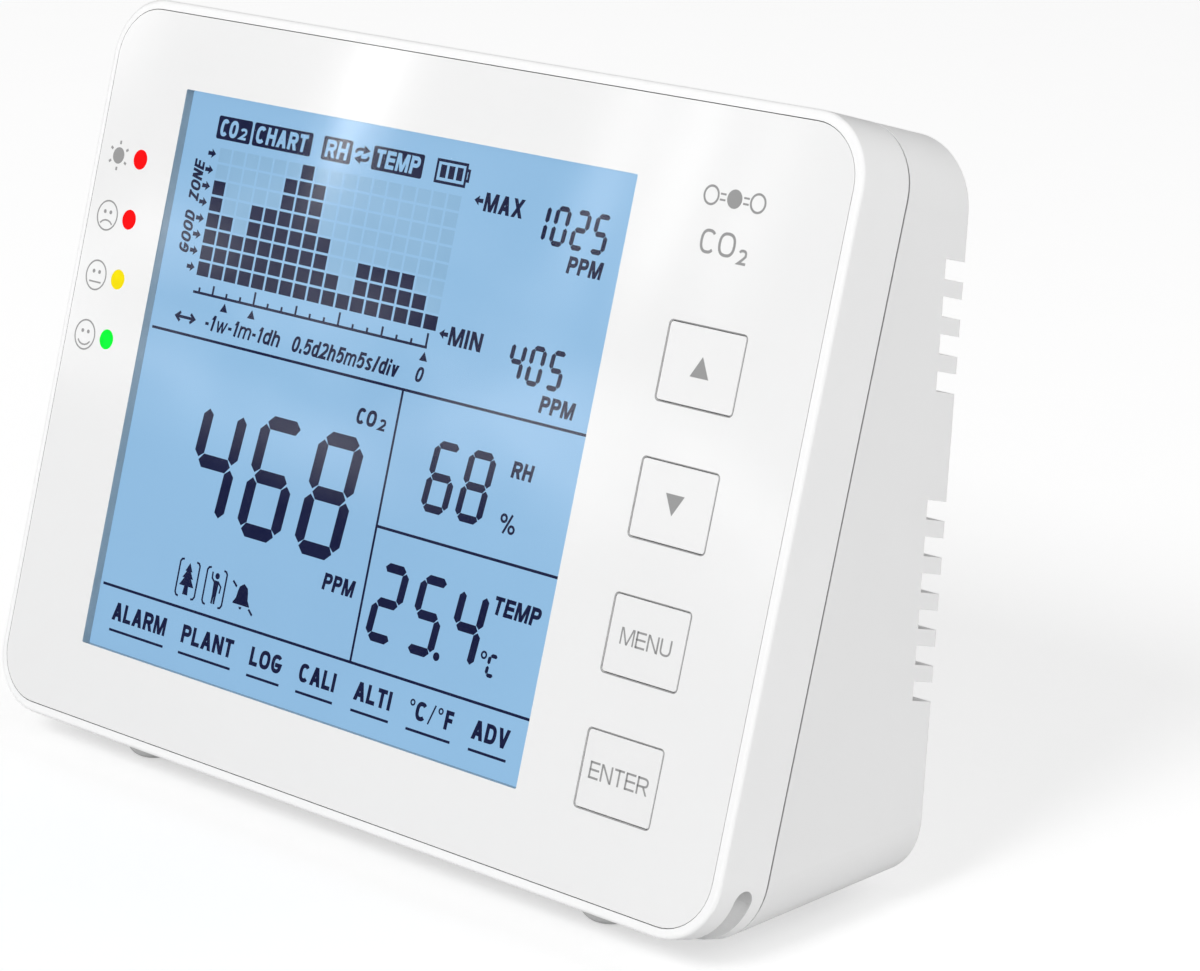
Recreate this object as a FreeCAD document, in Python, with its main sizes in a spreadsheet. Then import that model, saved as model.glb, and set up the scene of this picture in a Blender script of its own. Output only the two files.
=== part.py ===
import FreeCAD, Part
import math
import os
import Sketcher

# Desktop carbon dioxide monitor, millimetres, +Z up, front face looking along -Y.
#
# Every housed part is drawn in the "face frame" of the case:
#   x  right along the front face, zero on the centre line
#   y  depth into the case, square to the front face, zero on the front face
#   z  up along the front face, zero at its bottom edge
# The face frame is then leaned back and lifted on to its feet by one shared placement.

SIZES = [
    # alias, value, meaning
    ("case_wide", 120.0, "width of the case"),
    ("case_tall", 90.0, "height of the front face"),
    ("case_corner", 7.6, "radius of the four long case corners"),
    ("wall", 2.0, "wall of both housings"),
    ("lean_angle", 16.0, "front face leans back by this many degrees"),
    ("seam_deep", 8.3, "depth of the seam between the two housings"),
    ("seam_break", 0.05, "edge break of the rear housing at the seam"),
    ("groove_wide", 0.3, "width of the groove that shows at the seam"),
    ("groove_deep", 0.9, "depth of the groove that shows at the seam"),
    ("back_deep", 37.0, "depth of the back face, taken down to z = 0"),
    ("back_angle", 12.0, "slope of the back face against the front face"),
    ("rim_round", 0.5, "rounding of the front rim"),
    ("floor_top", 1.2, "depth where the panel seat of the bezel starts"),
    ("floor_back", 3.0, "depth of the back of the bezel web"),
    ("seat_edge", 1.2, "rim left above and below the panel seat"),
    ("seat_side", 1.06, "rim left beside the panel seat"),
    ("seat_corner", 6.48, "corner radius of the panel seat"),
    ("panel_edge", 1.3, "rim and gap left above and below the panel"),
    ("panel_side", 1.12, "rim and gap left beside the panel"),
    ("panel_corner", 6.36, "corner radius of the panel"),
    ("shown_left", -45.3, "left edge of the display opening"),
    ("shown_wide", 74.5, "width of the display opening"),
    ("shown_low", 10.5, "lower edge of the display opening"),
    ("shown_tall", 69.2, "height of the display opening"),
    ("pane_gap", 0.02, "gap round the clear pane"),
    ("opening_corner", 0.2, "corner radius of the display opening"),
    ("pane_front", 0.1, "depth of the front of the clear pane"),
    ("pane_back", 1.0, "depth of the back of the clear pane"),
    ("glass_over", 2.25, "display glass reaches this far past the opening"),
    ("glass_thick", 2.2, "thickness of the display glass pair"),
    ("guide_thick", 2.7, "thickness of the light guide"),
    ("mirror_thick", 0.3, "thickness of the reflector behind the guide"),
    ("carrier_wall", 1.6, "side wall of the display carrier"),
    ("key_x", 43.4, "centre line of the key column"),
    ("key_low", 15.27, "centre height of the lowest key"),
    ("key_pitch", 15.1, "spacing of the keys"),
    ("key_wide", 10.84, "width of a key cap"),
    ("key_tall", 8.65, "height of a key cap"),
    ("key_gap", 0.1, "gap round a key cap"),
    ("stem_round", 1.65, "radius of a switch stem"),
    ("lamp_x", -51.3, "centre line of the indicator column"),
    ("lamp_low", 47.5, "centre height of the lowest indicator"),
    ("lamp_pitch", 7.533, "spacing of the indicators"),
    ("lamp_round", 1.23, "radius of an indicator lens"),
    ("board_front", 8.0, "depth of the front of the main board"),
    ("board_thick", 1.6, "thickness of the main board"),
    ("screw_x", 54.5, "case screws stand this far from the centre line"),
    ("screw_low", 15.0, "height of the lower case screws"),
    ("screw_high", 82.0, "height of the upper case screws"),
    ("screw_seat", 16.6, "depth of the seats of the screw heads"),
    ("scoop_round", 1.48, "radius of the finger scoops at the lower corners"),
    ("scoop_deep", 1.6, "depth of the finger scoops"),
    ("scoop_middle", 4.65, "depth of the middle of the finger scoops"),
    ("foot_x", 38.5, "feet stand this far from the centre line"),
    ("foot_round", 3.5, "radius of a foot"),
    ("foot_drop", 1.9, "feet reach this far below the case"),
    ("foot_socket", 1.4, "feet reach this far up into the case"),
    ("front_foot", 0.6, "front feet, distance behind the seam"),
    ("rear_foot", 22.0, "rear feet, distance behind the seam"),
    ("slot_tall", 2.15, "height of a vent slot"),
    ("slot_pitch", 4.04, "spacing of the vent slots"),
    ("slot_run", 3.7, "vent slots reach this far forward of the back edge"),
    ("slot_deep", 5.2, "vent slots reach this far in from the side"),
    ("door_half", 27.6, "half width of the battery door"),
    ("door_low", 12.95, "lower edge of the door, measured up the back face"),
    ("door_high", 49.4, "upper edge of the door, measured up the back face"),
    ("door_thick", 1.9, "thickness of the battery door"),
    ("pin_round", 0.65, "radius of the hinge pins of the door"),
    ("cell_round", 5.25, "radius of a battery cell"),
    ("cell_long", 43.7, "length of a battery cell without its button"),
    ("cell_pitch", 11.3, "spacing of the battery cells"),
    ("cell_low", 20.1, "lowest cell, measured up the back face"),
    ("bay_half", 26.6, "half length of the battery bay"),
    ("bay_deep", 13.1, "depth of the battery bay below the back face"),
]

doc = FreeCAD.newDocument("CarbonDioxideMonitor")
sheet = doc.addObject("Spreadsheet::Sheet", "Sizes")
for row, (alias, value, meaning) in enumerate(SIZES, start=1):
    sheet.set("A%d" % row, meaning)
    sheet.set("B%d" % row, str(value))
    sheet.setAlias("B%d" % row, alias)
doc.recompute()


def size(alias):
    """Value of one driving dimension."""
    return float(sheet.get(alias))


def formula(text):
    """Turn 'a + b' written with sheet aliases into a document expression."""
    text = str(text)
    for alias in sorted((entry[0] for entry in SIZES), key=len, reverse=True):
        text = text.replace(alias, "Sizes.<" + str(ALIASES.index(alias)) + ">")
    for place, alias in enumerate(ALIASES):
        text = text.replace("<%d>" % place, alias)
    return text


def number(text):
    """Number that a formula stands for now."""
    return float(worked_out(str(text)))


ALIASES = [entry[0] for entry in SIZES]
MEASURE = doc.addObject("App::FeaturePython", "Measure")
MEASURE.addProperty("App::PropertyFloat", "Value")


def worked_out(text):
    """Let the document work a formula out, so drawing and binding agree."""
    MEASURE.setExpression("Value", formula(text))
    doc.recompute([MEASURE])
    return MEASURE.Value


LEAN = size("lean_angle")
BACK = size("back_angle")
SIN_LEAN, COS_LEAN = math.sin(math.radians(LEAN)), math.cos(math.radians(LEAN))
SIN_BACK, COS_BACK = math.sin(math.radians(BACK)), math.cos(math.radians(BACK))
TAN_LEAN, TAN_BACK = SIN_LEAN / COS_LEAN, SIN_BACK / COS_BACK

# The case hangs lowest along the seam, and is deepest at the top of its back face.
LIFT = size("seam_deep") * SIN_LEAN + size("foot_drop")
TOP_BACK = size("back_deep") - TAN_BACK * size("case_tall")
SPAN = size("case_tall") * SIN_LEAN + TOP_BACK * COS_LEAN
FACE_FRAME = FreeCAD.Placement(
    FreeCAD.Vector(0, -SPAN / 2, LIFT),
    FreeCAD.Rotation(FreeCAD.Vector(1, 0, 0), -LEAN))
# The back frame lies on the back face: y out of it is turned by the slope of that face.
BACK_FRAME = FACE_FRAME.multiply(FreeCAD.Placement(
    FreeCAD.Vector(0, size("back_deep"), 0),
    FreeCAD.Rotation(FreeCAD.Vector(1, 0, 0), BACK)))


def in_frame(frame, x, y, z, turn=None):
    """Placement at a point of the face frame or of the back frame."""
    spin = turn if turn else FreeCAD.Rotation()
    return frame.multiply(FreeCAD.Placement(FreeCAD.Vector(x, y, z), spin))


def body_at(label, placement):
    """Empty PartDesign body with its own name and placement."""
    body = doc.addObject("PartDesign::Body", label)
    body.Label = label
    body.Placement = placement
    return body


def sketch_on(body, name, plane, offset=None):
    """Sketch on one of the body's own origin planes."""
    sketch = body.newObject("Sketcher::SketchObject", name)
    support = [f for f in body.Origin.OriginFeatures if f.Role == plane][0]
    sketch.AttachmentSupport = [(support, "")]
    sketch.MapMode = "FlatFace"
    if offset is not None:
        sketch.AttachmentOffset = offset
    return sketch


def face_sketch(body, name, depth):
    """Sketch parallel to the front face at a depth: x right, y up."""
    sketch = sketch_on(body, name, "XZ_Plane")
    sketch.setExpression("AttachmentOffset.Base.z", "-(%s)" % formula(depth))
    return sketch


def bind(sketch, kind, where, text, name):
    """One dimension of a sketch, drawn at its value and bound to the sheet."""
    index = sketch.addConstraint(Sketcher.Constraint(kind, *where, number(text)))
    sketch.renameConstraint(index, name)
    sketch.setExpression("Constraints." + name, formula(text))


def add_rect(sketch, left, low, wide, tall, corner=None):
    """Rectangle in a sketch, with round corners if a corner radius is given."""
    x0, y0 = number(left), number(low)
    x1, y1 = x0 + number(wide), y0 + number(tall)
    first = sketch.GeometryCount
    tag = "r%d_" % first
    r = number(corner) if corner else 0.0
    ends = [((x0 + r, y0), (x1 - r, y0)), ((x1, y0 + r), (x1, y1 - r)),
            ((x1 - r, y1), (x0 + r, y1)), ((x0, y1 - r), (x0, y0 + r))]
    for start, end in ends:
        sketch.addGeometry(Part.LineSegment(FreeCAD.Vector(*start, 0), FreeCAD.Vector(*end, 0)))
    joins = []
    if corner:
        centres = [(x1 - r, y0 + r, 270), (x1 - r, y1 - r, 0), (x0 + r, y1 - r, 90),
                   (x0 + r, y0 + r, 180)]
        for number_of, (cx, cy, turn) in enumerate(centres):
            circle = Part.Circle(FreeCAD.Vector(cx, cy, 0), FreeCAD.Vector(0, 0, 1), r)
            arc = sketch.addGeometry(Part.ArcOfCircle(
                circle, math.radians(turn), math.radians(turn + 90)))
            after = first + (number_of + 1) % 4
            joins.append(Sketcher.Constraint("Tangent", first + number_of, 2, arc, 1))
            joins.append(Sketcher.Constraint("Tangent", arc, 2, after, 1))
            if number_of:
                joins.append(Sketcher.Constraint("Equal", first + 4, arc))
    else:
        for side in range(4):
            joins.append(Sketcher.Constraint("Coincident", first + side, 2,
                                             first + (side + 1) % 4, 1))
    for side in (0, 2):
        joins.append(Sketcher.Constraint("Horizontal", first + side))
        joins.append(Sketcher.Constraint("Vertical", first + side + 1))
    sketch.addConstraint(joins)
    if corner:
        bind(sketch, "Radius", (first + 4,), corner, tag + "corner")
    bind(sketch, "DistanceX", (-1, 1, first + 3, 1), left, tag + "left")
    bind(sketch, "DistanceY", (-1, 1, first, 1), low, tag + "low")
    bind(sketch, "DistanceX", (first + 3, 1, first + 1, 1), wide, tag + "wide")
    bind(sketch, "DistanceY", (first, 1, first + 2, 1), tall, tag + "tall")


def add_disc(sketch, x, y, radius):
    """Circle in a sketch."""
    circle = Part.Circle(FreeCAD.Vector(number(x), number(y), 0),
                         FreeCAD.Vector(0, 0, 1), number(radius))
    index = sketch.addGeometry(circle)
    tag = "c%d_" % index
    bind(sketch, "DistanceX", (-1, 1, index, 3), x, tag + "x")
    bind(sketch, "DistanceY", (-1, 1, index, 3), y, tag + "y")
    bind(sketch, "Radius", (index,), radius, tag + "radius")


def add_outline(sketch, points):
    """Closed outline through points; each coordinate is a formula."""
    spots = [(number(px), number(py)) for px, py in points]
    first, count = sketch.GeometryCount, len(spots)
    for here, there in zip(spots, spots[1:] + spots[:1]):
        sketch.addGeometry(Part.LineSegment(FreeCAD.Vector(*here, 0), FreeCAD.Vector(*there, 0)))
    for side in range(count):
        sketch.addConstraint(Sketcher.Constraint("Coincident", first + side, 2,
                                                 first + (side + 1) % count, 1))
    for side, (px, py) in enumerate(points, start=first):
        for kind, text, axis in (("DistanceX", px, "x"), ("DistanceY", py, "y")):
            if abs(number(text)) < 1e-9:
                rule = Sketcher.Constraint("PointOnObject", side, 1, -2 if axis == "x" else -1)
                sketch.addConstraint(rule)
            else:
                bind(sketch, kind, (-1, 1, side, 1), text, "p%d_%s" % (side, axis))


def pad(body, name, sketch, length, toward_depth=True):
    """Add material from a sketch; face sketches grow into the case by default."""
    feature = body.newObject("PartDesign::Pad", name)
    feature.Profile = sketch
    feature.setExpression("Length", formula(length))
    feature.Reversed = toward_depth
    body.Tip = feature
    doc.recompute()
    return feature


def cut(body, name, sketch, length, toward_depth=True):
    """Take material away from a sketch; face sketches cut into the case by default."""
    before = body.Tip.Shape.Volume
    feature = body.newObject("PartDesign::Pocket", name)
    feature.Profile = sketch
    feature.setExpression("Length", formula(length))
    feature.Reversed = not toward_depth
    body.Tip = feature
    doc.recompute()
    if not feature.Shape.Volume < before - 1e-6:
        raise ValueError("%s in %s removes nothing" % (name, body.Label))
    return feature


def edges_where(feature, wanted):
    """Names of the edges of a feature whose middle point and direction fit."""
    names = []
    for index, edge in enumerate(feature.Shape.Edges, start=1):
        first, last = edge.ParameterRange
        middle = edge.valueAt((first + last) / 2)
        along = edge.valueAt(last) - edge.valueAt(first)
        if wanted(middle, along, edge):
            names.append("Edge%d" % index)
    if not names:
        raise ValueError("no edge found on " + feature.Label)
    return names


def soften(body, name, wanted, amount, kind="Fillet"):
    """Round or break the edges picked by a test."""
    base = body.Tip
    picked = edges_where(base, wanted)
    feature = body.newObject("PartDesign::" + kind, name)
    feature.Base = (base, picked)
    feature.setExpression("Radius" if kind == "Fillet" else "Size", formula(amount))
    body.Tip = feature
    doc.recompute()
    return feature


def spin(body, name, sketch, axis="V_Axis", angle=360.0):
    """Turn a profile about one of the axes of its sketch."""
    feature = body.newObject("PartDesign::Revolution", name)
    feature.Profile = sketch
    feature.ReferenceAxis = (sketch, [axis])
    feature.Angle = angle
    body.Tip = feature
    doc.recompute()
    return feature


def mirror(body, name, sources):
    """Mirror earlier features to the other side of the centre line."""
    twin = body.newObject("PartDesign::Mirrored", name)
    twin.Originals = sources
    plane = [f for f in body.Origin.OriginFeatures if f.Role == "YZ_Plane"][0]
    twin.MirrorPlane = (plane, [""])
    body.Tip = twin
    doc.recompute()
    return twin


def plain_block(label, placement, wide, deep, tall, corner=None):
    """Block centred on x and z that starts at y = 0 and runs into the case."""
    body = body_at(label, placement)
    sketch = face_sketch(body, label + "_outline", "0")
    add_rect(sketch, "-(%s) / 2" % wide, "-(%s) / 2" % tall, wide, tall, corner)
    pad(body, label + "_block", sketch, deep)
    return body


nodes = []


def keep(shape_object):
    """Mark a finished sub-part for writing out."""
    nodes.append(shape_object)
    return shape_object


# ---------------------------------------------------------------- front bezel
bezel = keep(body_at("front_bezel", in_frame(FACE_FRAME, 0, 0, 0)))
outline = face_sketch(bezel, "bezel_outline", "0")
add_rect(outline, "-case_wide / 2", "0.0001", "case_wide", "case_tall", "case_corner")
pad(bezel, "bezel_block", outline, "seam_deep")
soften(bezel, "bezel_rim", lambda m, a, e: abs(m.y) < 1e-4, "rim_round")
groove = face_sketch(bezel, "seam_groove_outline", "seam_deep - groove_wide")
add_rect(groove, "-case_wide / 2 - 1", "-1", "case_wide + 2", "case_tall + 2")
add_rect(groove, "-case_wide / 2 + groove_deep", "groove_deep", "case_wide - 2 * groove_deep",
         "case_tall - 2 * groove_deep", "case_corner - groove_deep")
cut(bezel, "seam_groove", groove, "groove_wide + 1")

seat = face_sketch(bezel, "panel_seat_outline", "0")
add_rect(seat, "-case_wide / 2 + seat_side", "seat_edge", "case_wide - 2 * seat_side",
         "case_tall - 2 * seat_edge", "seat_corner")
cut(bezel, "panel_seat", seat, "floor_top")
hollow = face_sketch(bezel, "bezel_hollow_outline", "floor_back")
add_rect(hollow, "-case_wide / 2 + wall", "wall", "case_wide - 2 * wall",
         "case_tall - 2 * wall", "case_corner - wall")
cut(bezel, "bezel_hollow", hollow, "seam_deep")

windows = face_sketch(bezel, "web_openings", "0")
add_rect(windows, "shown_left - glass_over - 0.3", "shown_low - glass_over - 0.3",
         "shown_wide + 2 * glass_over + 0.6", "shown_tall + 2 * glass_over + 0.6")
for place in range(4):
    add_rect(windows, "key_x - key_wide / 2 - 1.1",
             "key_low + %d * key_pitch - key_tall / 2 - 1.1" % place,
             "key_wide + 2.2", "key_tall + 2.2")
    add_disc(windows, "lamp_x", "lamp_low + %d * lamp_pitch" % place, "lamp_round + 0.45")
cut(bezel, "web_cuts", windows, "floor_back + 1")

SCREW_SPOTS = [(side, height) for side in (-1, 1) for height in ("screw_low", "screw_high")]
posts = face_sketch(bezel, "post_outlines", "floor_back - 0.5")
for side, height in SCREW_SPOTS:
    add_disc(posts, "%d * screw_x" % side, height, "3.0")
pad(bezel, "screw_posts", posts, "board_front - floor_back + 0.5")
pilots = face_sketch(bezel, "pilot_outlines", "floor_back + 1")
for side, height in SCREW_SPOTS:
    add_disc(pilots, "%d * screw_x" % side, height, "1.0")
cut(bezel, "pilot_holes", pilots, "seam_deep")


# Shallow finger scoops wrap round the two lower corners of the bezel: part of a ring
# about the corner, closed off by a ball at each end.
SCOOP_REACH = number("case_corner + scoop_round - scoop_deep")
SCOOP_START, SCOOP_END = 15, 75
for side, tag in ((1, "right"), (-1, "left")):
    corner_x = side * (size("case_wide") / 2 - size("case_corner"))
    start_turn = SCOOP_START if side > 0 else 180 - SCOOP_START
    scoop_plane = FreeCAD.Placement(
        FreeCAD.Vector(corner_x, 0, size("case_corner")),
        FreeCAD.Rotation(FreeCAD.Vector(0, 1, 0), start_turn))
    profile = sketch_on(bezel, "scoop_profile_" + tag, "XY_Plane", scoop_plane)
    add_disc(profile, "case_corner + scoop_round - scoop_deep", "scoop_middle", "scoop_round")
    scoop = bezel.newObject("PartDesign::Groove", "scoop_ring_" + tag)
    scoop.Profile = profile
    scoop.ReferenceAxis = (profile, ["V_Axis"])
    scoop.Angle = SCOOP_END - SCOOP_START
    scoop.Reversed = side < 0
    bezel.Tip = scoop
    doc.recompute()
    for end, turn in (("top", SCOOP_START), ("low", SCOOP_END)):
        ball = bezel.newObject("PartDesign::SubtractiveSphere", "scoop_%s_%s" % (end, tag))
        ball.setExpression("Radius", formula("scoop_round + 0.02"))
        ball.Placement = FreeCAD.Placement(FreeCAD.Vector(
            corner_x + side * SCOOP_REACH * math.cos(math.radians(turn)),
            size("scoop_middle"),
            size("case_corner") - SCOOP_REACH * math.sin(math.radians(turn))),
            FreeCAD.Rotation())
        bezel.Tip = ball
        doc.recompute()


def floor_sketch(body, name):
    """Sketch on the level underside of the case: x right, y back from the seam."""
    offset = FreeCAD.Placement(FreeCAD.Vector(0, size("seam_deep"), 0),
                               FreeCAD.Rotation(FreeCAD.Vector(1, 0, 0), LEAN))
    return sketch_on(body, name, "XY_Plane", offset)


def foot_sockets(body, rows):
    """Round sockets for the feet, cut straight up into the underside."""
    sockets = floor_sketch(body, "foot_socket_outlines")
    for row_of in rows:
        for side in (-1, 1):
            add_disc(sockets, "%d * foot_x" % side, row_of, "foot_round + 0.02")
    cut(body, "foot_sockets", sockets, "foot_socket", False)


foot_sockets(bezel, ["front_foot"])

# --------------------------------------------------------------- rear housing
rear = keep(body_at("rear_housing", in_frame(FACE_FRAME, 0, 0, 0)))
T_BACK, T_LEAN = "tan(back_angle * 1 deg)", "tan(lean_angle * 1 deg)"
HEEL = "((back_deep + %s * %s * seam_deep) / (1 + %s * %s))" % (T_BACK, T_LEAN, T_BACK, T_LEAN)
side_view = sketch_on(rear, "rear_side_view", "YZ_Plane")
add_outline(side_view, [
    ("seam_deep", "0"), (HEEL, "(%s - seam_deep) * %s" % (HEEL, T_LEAN)),
    ("back_deep - %s * case_tall" % T_BACK, "case_tall"), ("seam_deep", "case_tall")])
block = pad(rear, "rear_block", side_view, "case_wide", False)
block.Midplane = True
doc.recompute()


def long_corner(middle, along, edge):
    """The four edges that run from front to back at the case corners."""
    return abs(abs(middle.x) - size("case_wide") / 2) < 1e-3 and abs(along.y) > 5


def on_back(point, depth=0.0):
    """True for a point this deep below the back face."""
    out = (point.y - size("back_deep")) * COS_BACK + point.z * SIN_BACK
    return abs(out + depth) < 1e-3


soften(rear, "rear_corners", lambda m, a, e: long_corner(m, a, e) and not on_back(m),
       "case_corner")
shell = rear.newObject("PartDesign::Thickness", "rear_shell")
mouth = [index for index, face in enumerate(rear.Group[-2].Shape.Faces, start=1)
         if abs(face.CenterOfMass.y - size("seam_deep")) < 1e-3]
shell.Base = (rear.Group[-2], ["Face%d" % mouth[0]])
shell.setExpression("Value", formula("wall"))
shell.Reversed = True
rear.Tip = shell
doc.recompute()
soften(rear, "rear_edge", lambda m, a, e: on_back(m), "0.4")


def outer_mouth(middle, along, edge):
    """Outer edge loop of the rear housing at the seam."""
    up = min(middle.z, size("case_tall") - middle.z)
    across = abs(middle.x)
    at_seam = abs(middle.y - size("seam_deep")) < 1e-3
    return at_seam and (across > 59 or up < 1 or across - up > 54)


soften(rear, "rear_seam", outer_mouth, "seam_break", "Chamfer")


def back_sketch(body, name, depth):
    """Sketch parallel to the back face, this deep below it: x right, y up the face."""
    base = FreeCAD.Vector(0, -SIN_BACK * depth, COS_BACK * depth - size("back_deep"))
    offset = FreeCAD.Placement(base, FreeCAD.Rotation(FreeCAD.Vector(1, 0, 0), BACK))
    return sketch_on(body, name, "XZ_Plane", offset)


BEHIND_BOARD = "board_front + board_thick"
for height, reach in (("screw_low", "32.8"), ("screw_high", "18.4")):
    posts = face_sketch(rear, "post_" + height, BEHIND_BOARD)
    for side in (-1, 1):
        add_disc(posts, "%d * screw_x" % side, height, "3.7")
    pad(rear, "posts_" + height, posts, "%s - (%s)" % (reach, BEHIND_BOARD))

bay_walls = back_sketch(rear, "bay_wall_outline", 1.5)
add_rect(bay_walls, "-bay_half - 3", "11.2", "2 * bay_half + 6", "40.0")
pad(rear, "bay_walls", bay_walls, "bay_deep - 0.1", False)
bay = back_sketch(rear, "bay_outline", -1.0)
add_rect(bay, "-bay_half", "14.5", "2 * bay_half", "33.9")
cut(rear, "battery_bay", bay, "bay_deep + 1", False)
doorway = back_sketch(rear, "doorway_outline", -1.0)
add_rect(doorway, "-door_half - 0.4", "door_low - 0.3", "2 * door_half + 0.8",
         "door_high - door_low + 0.7")
cut(rear, "doorway", doorway, "door_thick + 1.2", False)
notch = back_sketch(rear, "nail_notch_outline", -1.0)
add_rect(notch, "-7", "door_high - 1", "14", "4.6", "2")
cut(rear, "nail_notch", notch, "2.5", False)

pin_side = FreeCAD.Placement(FreeCAD.Vector(0, 0, -30), FreeCAD.Rotation())
pin_holes = sketch_on(rear, "pin_hole_outline", "YZ_Plane", pin_side)
AXIS_OUT = "(door_thick / 2)"
AXIS_UP = "(door_low + door_thick / 2)"
add_disc(pin_holes,
         "back_deep - %s * sin(back_angle * 1 deg) - %s * cos(back_angle * 1 deg)"
         % (AXIS_UP, AXIS_OUT),
         "%s * cos(back_angle * 1 deg) - %s * sin(back_angle * 1 deg)" % (AXIS_UP, AXIS_OUT),
         "pin_round + 0.05")
cut(rear, "pin_holes", pin_holes, "60", False)

seats = face_sketch(rear, "screw_seat_outlines", "screw_seat")
holes = face_sketch(rear, "screw_hole_outlines", "board_front")
for side, height in SCREW_SPOTS:
    add_disc(seats, "%d * screw_x" % side, height, "2.4")
    add_disc(holes, "%d * screw_x" % side, height, "1.3")
cut(rear, "screw_seats", seats, "25")
cut(rear, "screw_holes", holes, "12")

side_plane = FreeCAD.Placement(FreeCAD.Vector(0, 0, size("case_wide") / 2), FreeCAD.Rotation())
slots = sketch_on(rear, "slot_outlines", "YZ_Plane", side_plane)
SLOT_ROWS = [(64.0, 4), (29.8, 6)]
for lowest, count in SLOT_ROWS:
    for place in range(count):
        middle = "(%s + %d * slot_pitch)" % (lowest, place)
        low, high = "(%s - slot_tall / 2)" % middle, "(%s + slot_tall / 2)" % middle
        inner_low, inner_high = ["back_deep - %s * %s - slot_run" % (T_BACK, height)
                                 for height in (low, high)]
        outside = "back_deep - %s * %s + 3" % (T_BACK, middle)
        add_outline(slots, [(inner_low, low), (outside, low), (outside, high),
                            (inner_high, high)])
vents = cut(rear, "side_slots", slots, "slot_deep")
mirror(rear, "side_slots_left", [vents])

USB_UP, USB_DEEP = "30", "(%s + 1.6)" % BEHIND_BOARD
left_plane = FreeCAD.Placement(FreeCAD.Vector(0, 0, -size("case_wide") / 2),
                               FreeCAD.Rotation())
inlet = sketch_on(rear, "inlet_outline", "YZ_Plane", left_plane)
add_rect(inlet, "%s - 1.9" % USB_DEEP, "%s - 4.8" % USB_UP, "3.8", "9.6", "1.2")
cut(rear, "inlet_opening", inlet, "3", False)

SOUND_X, SOUND_UP = "-32", "71.5"
sound = back_sketch(rear, "sound_hole_outlines", -1.0)
add_disc(sound, SOUND_X, SOUND_UP, "0.9")
for place in range(6):
    turn = math.radians(60 * place)
    add_disc(sound, "%s + %.3f" % (SOUND_X, 3.6 * math.cos(turn)),
             "%s + %.3f" % (SOUND_UP, 3.6 * math.sin(turn)), "0.9")
cut(rear, "sound_holes", sound, "4", False)
foot_sockets(rear, ["front_foot", "rear_foot"])


def group(label, master, places):
    """Identical separate pieces kept together as one node."""
    links = []
    for index, placement in enumerate(places, start=1):
        link = doc.addObject("App::Link", "%s_%d" % (label, index))
        link.LinkedObject = master
        link.Placement = placement
        links.append(link)
    gathered = doc.addObject("Part::Compound", label)
    gathered.Label = label
    gathered.Links = links
    doc.recompute()
    return keep(gathered)


# ----------------------------------------------------- front panel and its pane
panel = keep(body_at("front_panel", in_frame(FACE_FRAME, 0, 0, 0)))
face = face_sketch(panel, "panel_outline", "0")
add_rect(face, "-case_wide / 2 + panel_side", "panel_edge", "case_wide - 2 * panel_side",
         "case_tall - 2 * panel_edge", "panel_corner")
pad(panel, "panel_plate", face, "floor_top")
panel_cuts = face_sketch(panel, "panel_openings", "0")
add_rect(panel_cuts, "shown_left", "shown_low", "shown_wide", "shown_tall", "opening_corner")
for place in range(4):
    add_rect(panel_cuts, "key_x - key_wide / 2 - key_gap",
             "key_low + %d * key_pitch - key_tall / 2 - key_gap" % place,
             "key_wide + 2 * key_gap", "key_tall + 2 * key_gap", "0.5")
    add_disc(panel_cuts, "lamp_x", "lamp_low + %d * lamp_pitch" % place, "lamp_round + 0.02")
cut(panel, "panel_cutouts", panel_cuts, "floor_top")

pane = keep(body_at("display_window", in_frame(FACE_FRAME, 0, 0, 0)))
face = face_sketch(pane, "pane_outline", "pane_front")
add_rect(face, "shown_left + pane_gap", "shown_low + pane_gap", "shown_wide - 2 * pane_gap",
         "shown_tall - 2 * pane_gap", "opening_corner - pane_gap")
pad(pane, "pane_plate", face, "pane_back - pane_front")

# ----------------------------------------------------------------- display pack
glass = keep(body_at("display_glass", in_frame(FACE_FRAME, 0, 0, 0)))
face = face_sketch(glass, "glass_outline", "floor_top")
add_rect(face, "shown_left - glass_over", "shown_low - glass_over",
         "shown_wide + 2 * glass_over", "shown_tall + 2 * glass_over")
pad(glass, "glass_pair", face, "glass_thick")

GUIDE_LOW = "(shown_low - glass_over + 4.2)"
GUIDE_TALL = "(shown_tall + 2 * glass_over - 4.2)"
GLASS_BACK = "(floor_top + glass_thick)"
for label, start, thick in (("light_guide", GLASS_BACK, "guide_thick"),
                            ("light_reflector", GLASS_BACK + " + guide_thick", "mirror_thick")):
    sheet_part = keep(body_at(label, in_frame(FACE_FRAME, 0, 0, 0)))
    face = face_sketch(sheet_part, label + "_outline", start)
    add_rect(face, "shown_left - glass_over", GUIDE_LOW, "shown_wide + 2 * glass_over",
             GUIDE_TALL)
    pad(sheet_part, label + "_plate", face, thick)

carrier = keep(body_at("display_carrier", in_frame(FACE_FRAME, 0, 0, 0)))
face = face_sketch(carrier, "carrier_outline", "floor_back")
add_rect(face, "shown_left - glass_over - 0.1 - carrier_wall",
         "shown_low - glass_over - 0.1 - carrier_wall",
         "shown_wide + 2 * (glass_over + 0.1 + carrier_wall)",
         "shown_tall + 2 * (glass_over + 0.1 + carrier_wall)", "1.0")
pad(carrier, "carrier_block", face, "board_front - floor_back")
face = face_sketch(carrier, "carrier_tray_outline", "floor_back")
add_rect(face, "shown_left - glass_over - 0.1", "shown_low - glass_over - 0.1",
         "shown_wide + 2 * glass_over + 0.2", "shown_tall + 2 * glass_over + 0.2")
cut(carrier, "carrier_tray", face, "%s + guide_thick + mirror_thick - floor_back" % GLASS_BACK)
face = face_sketch(carrier, "carrier_opening_outline", "floor_back")
add_rect(face, "shown_left + 8", "shown_low + 8", "shown_wide - 16", "shown_tall - 16", "2")
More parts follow.
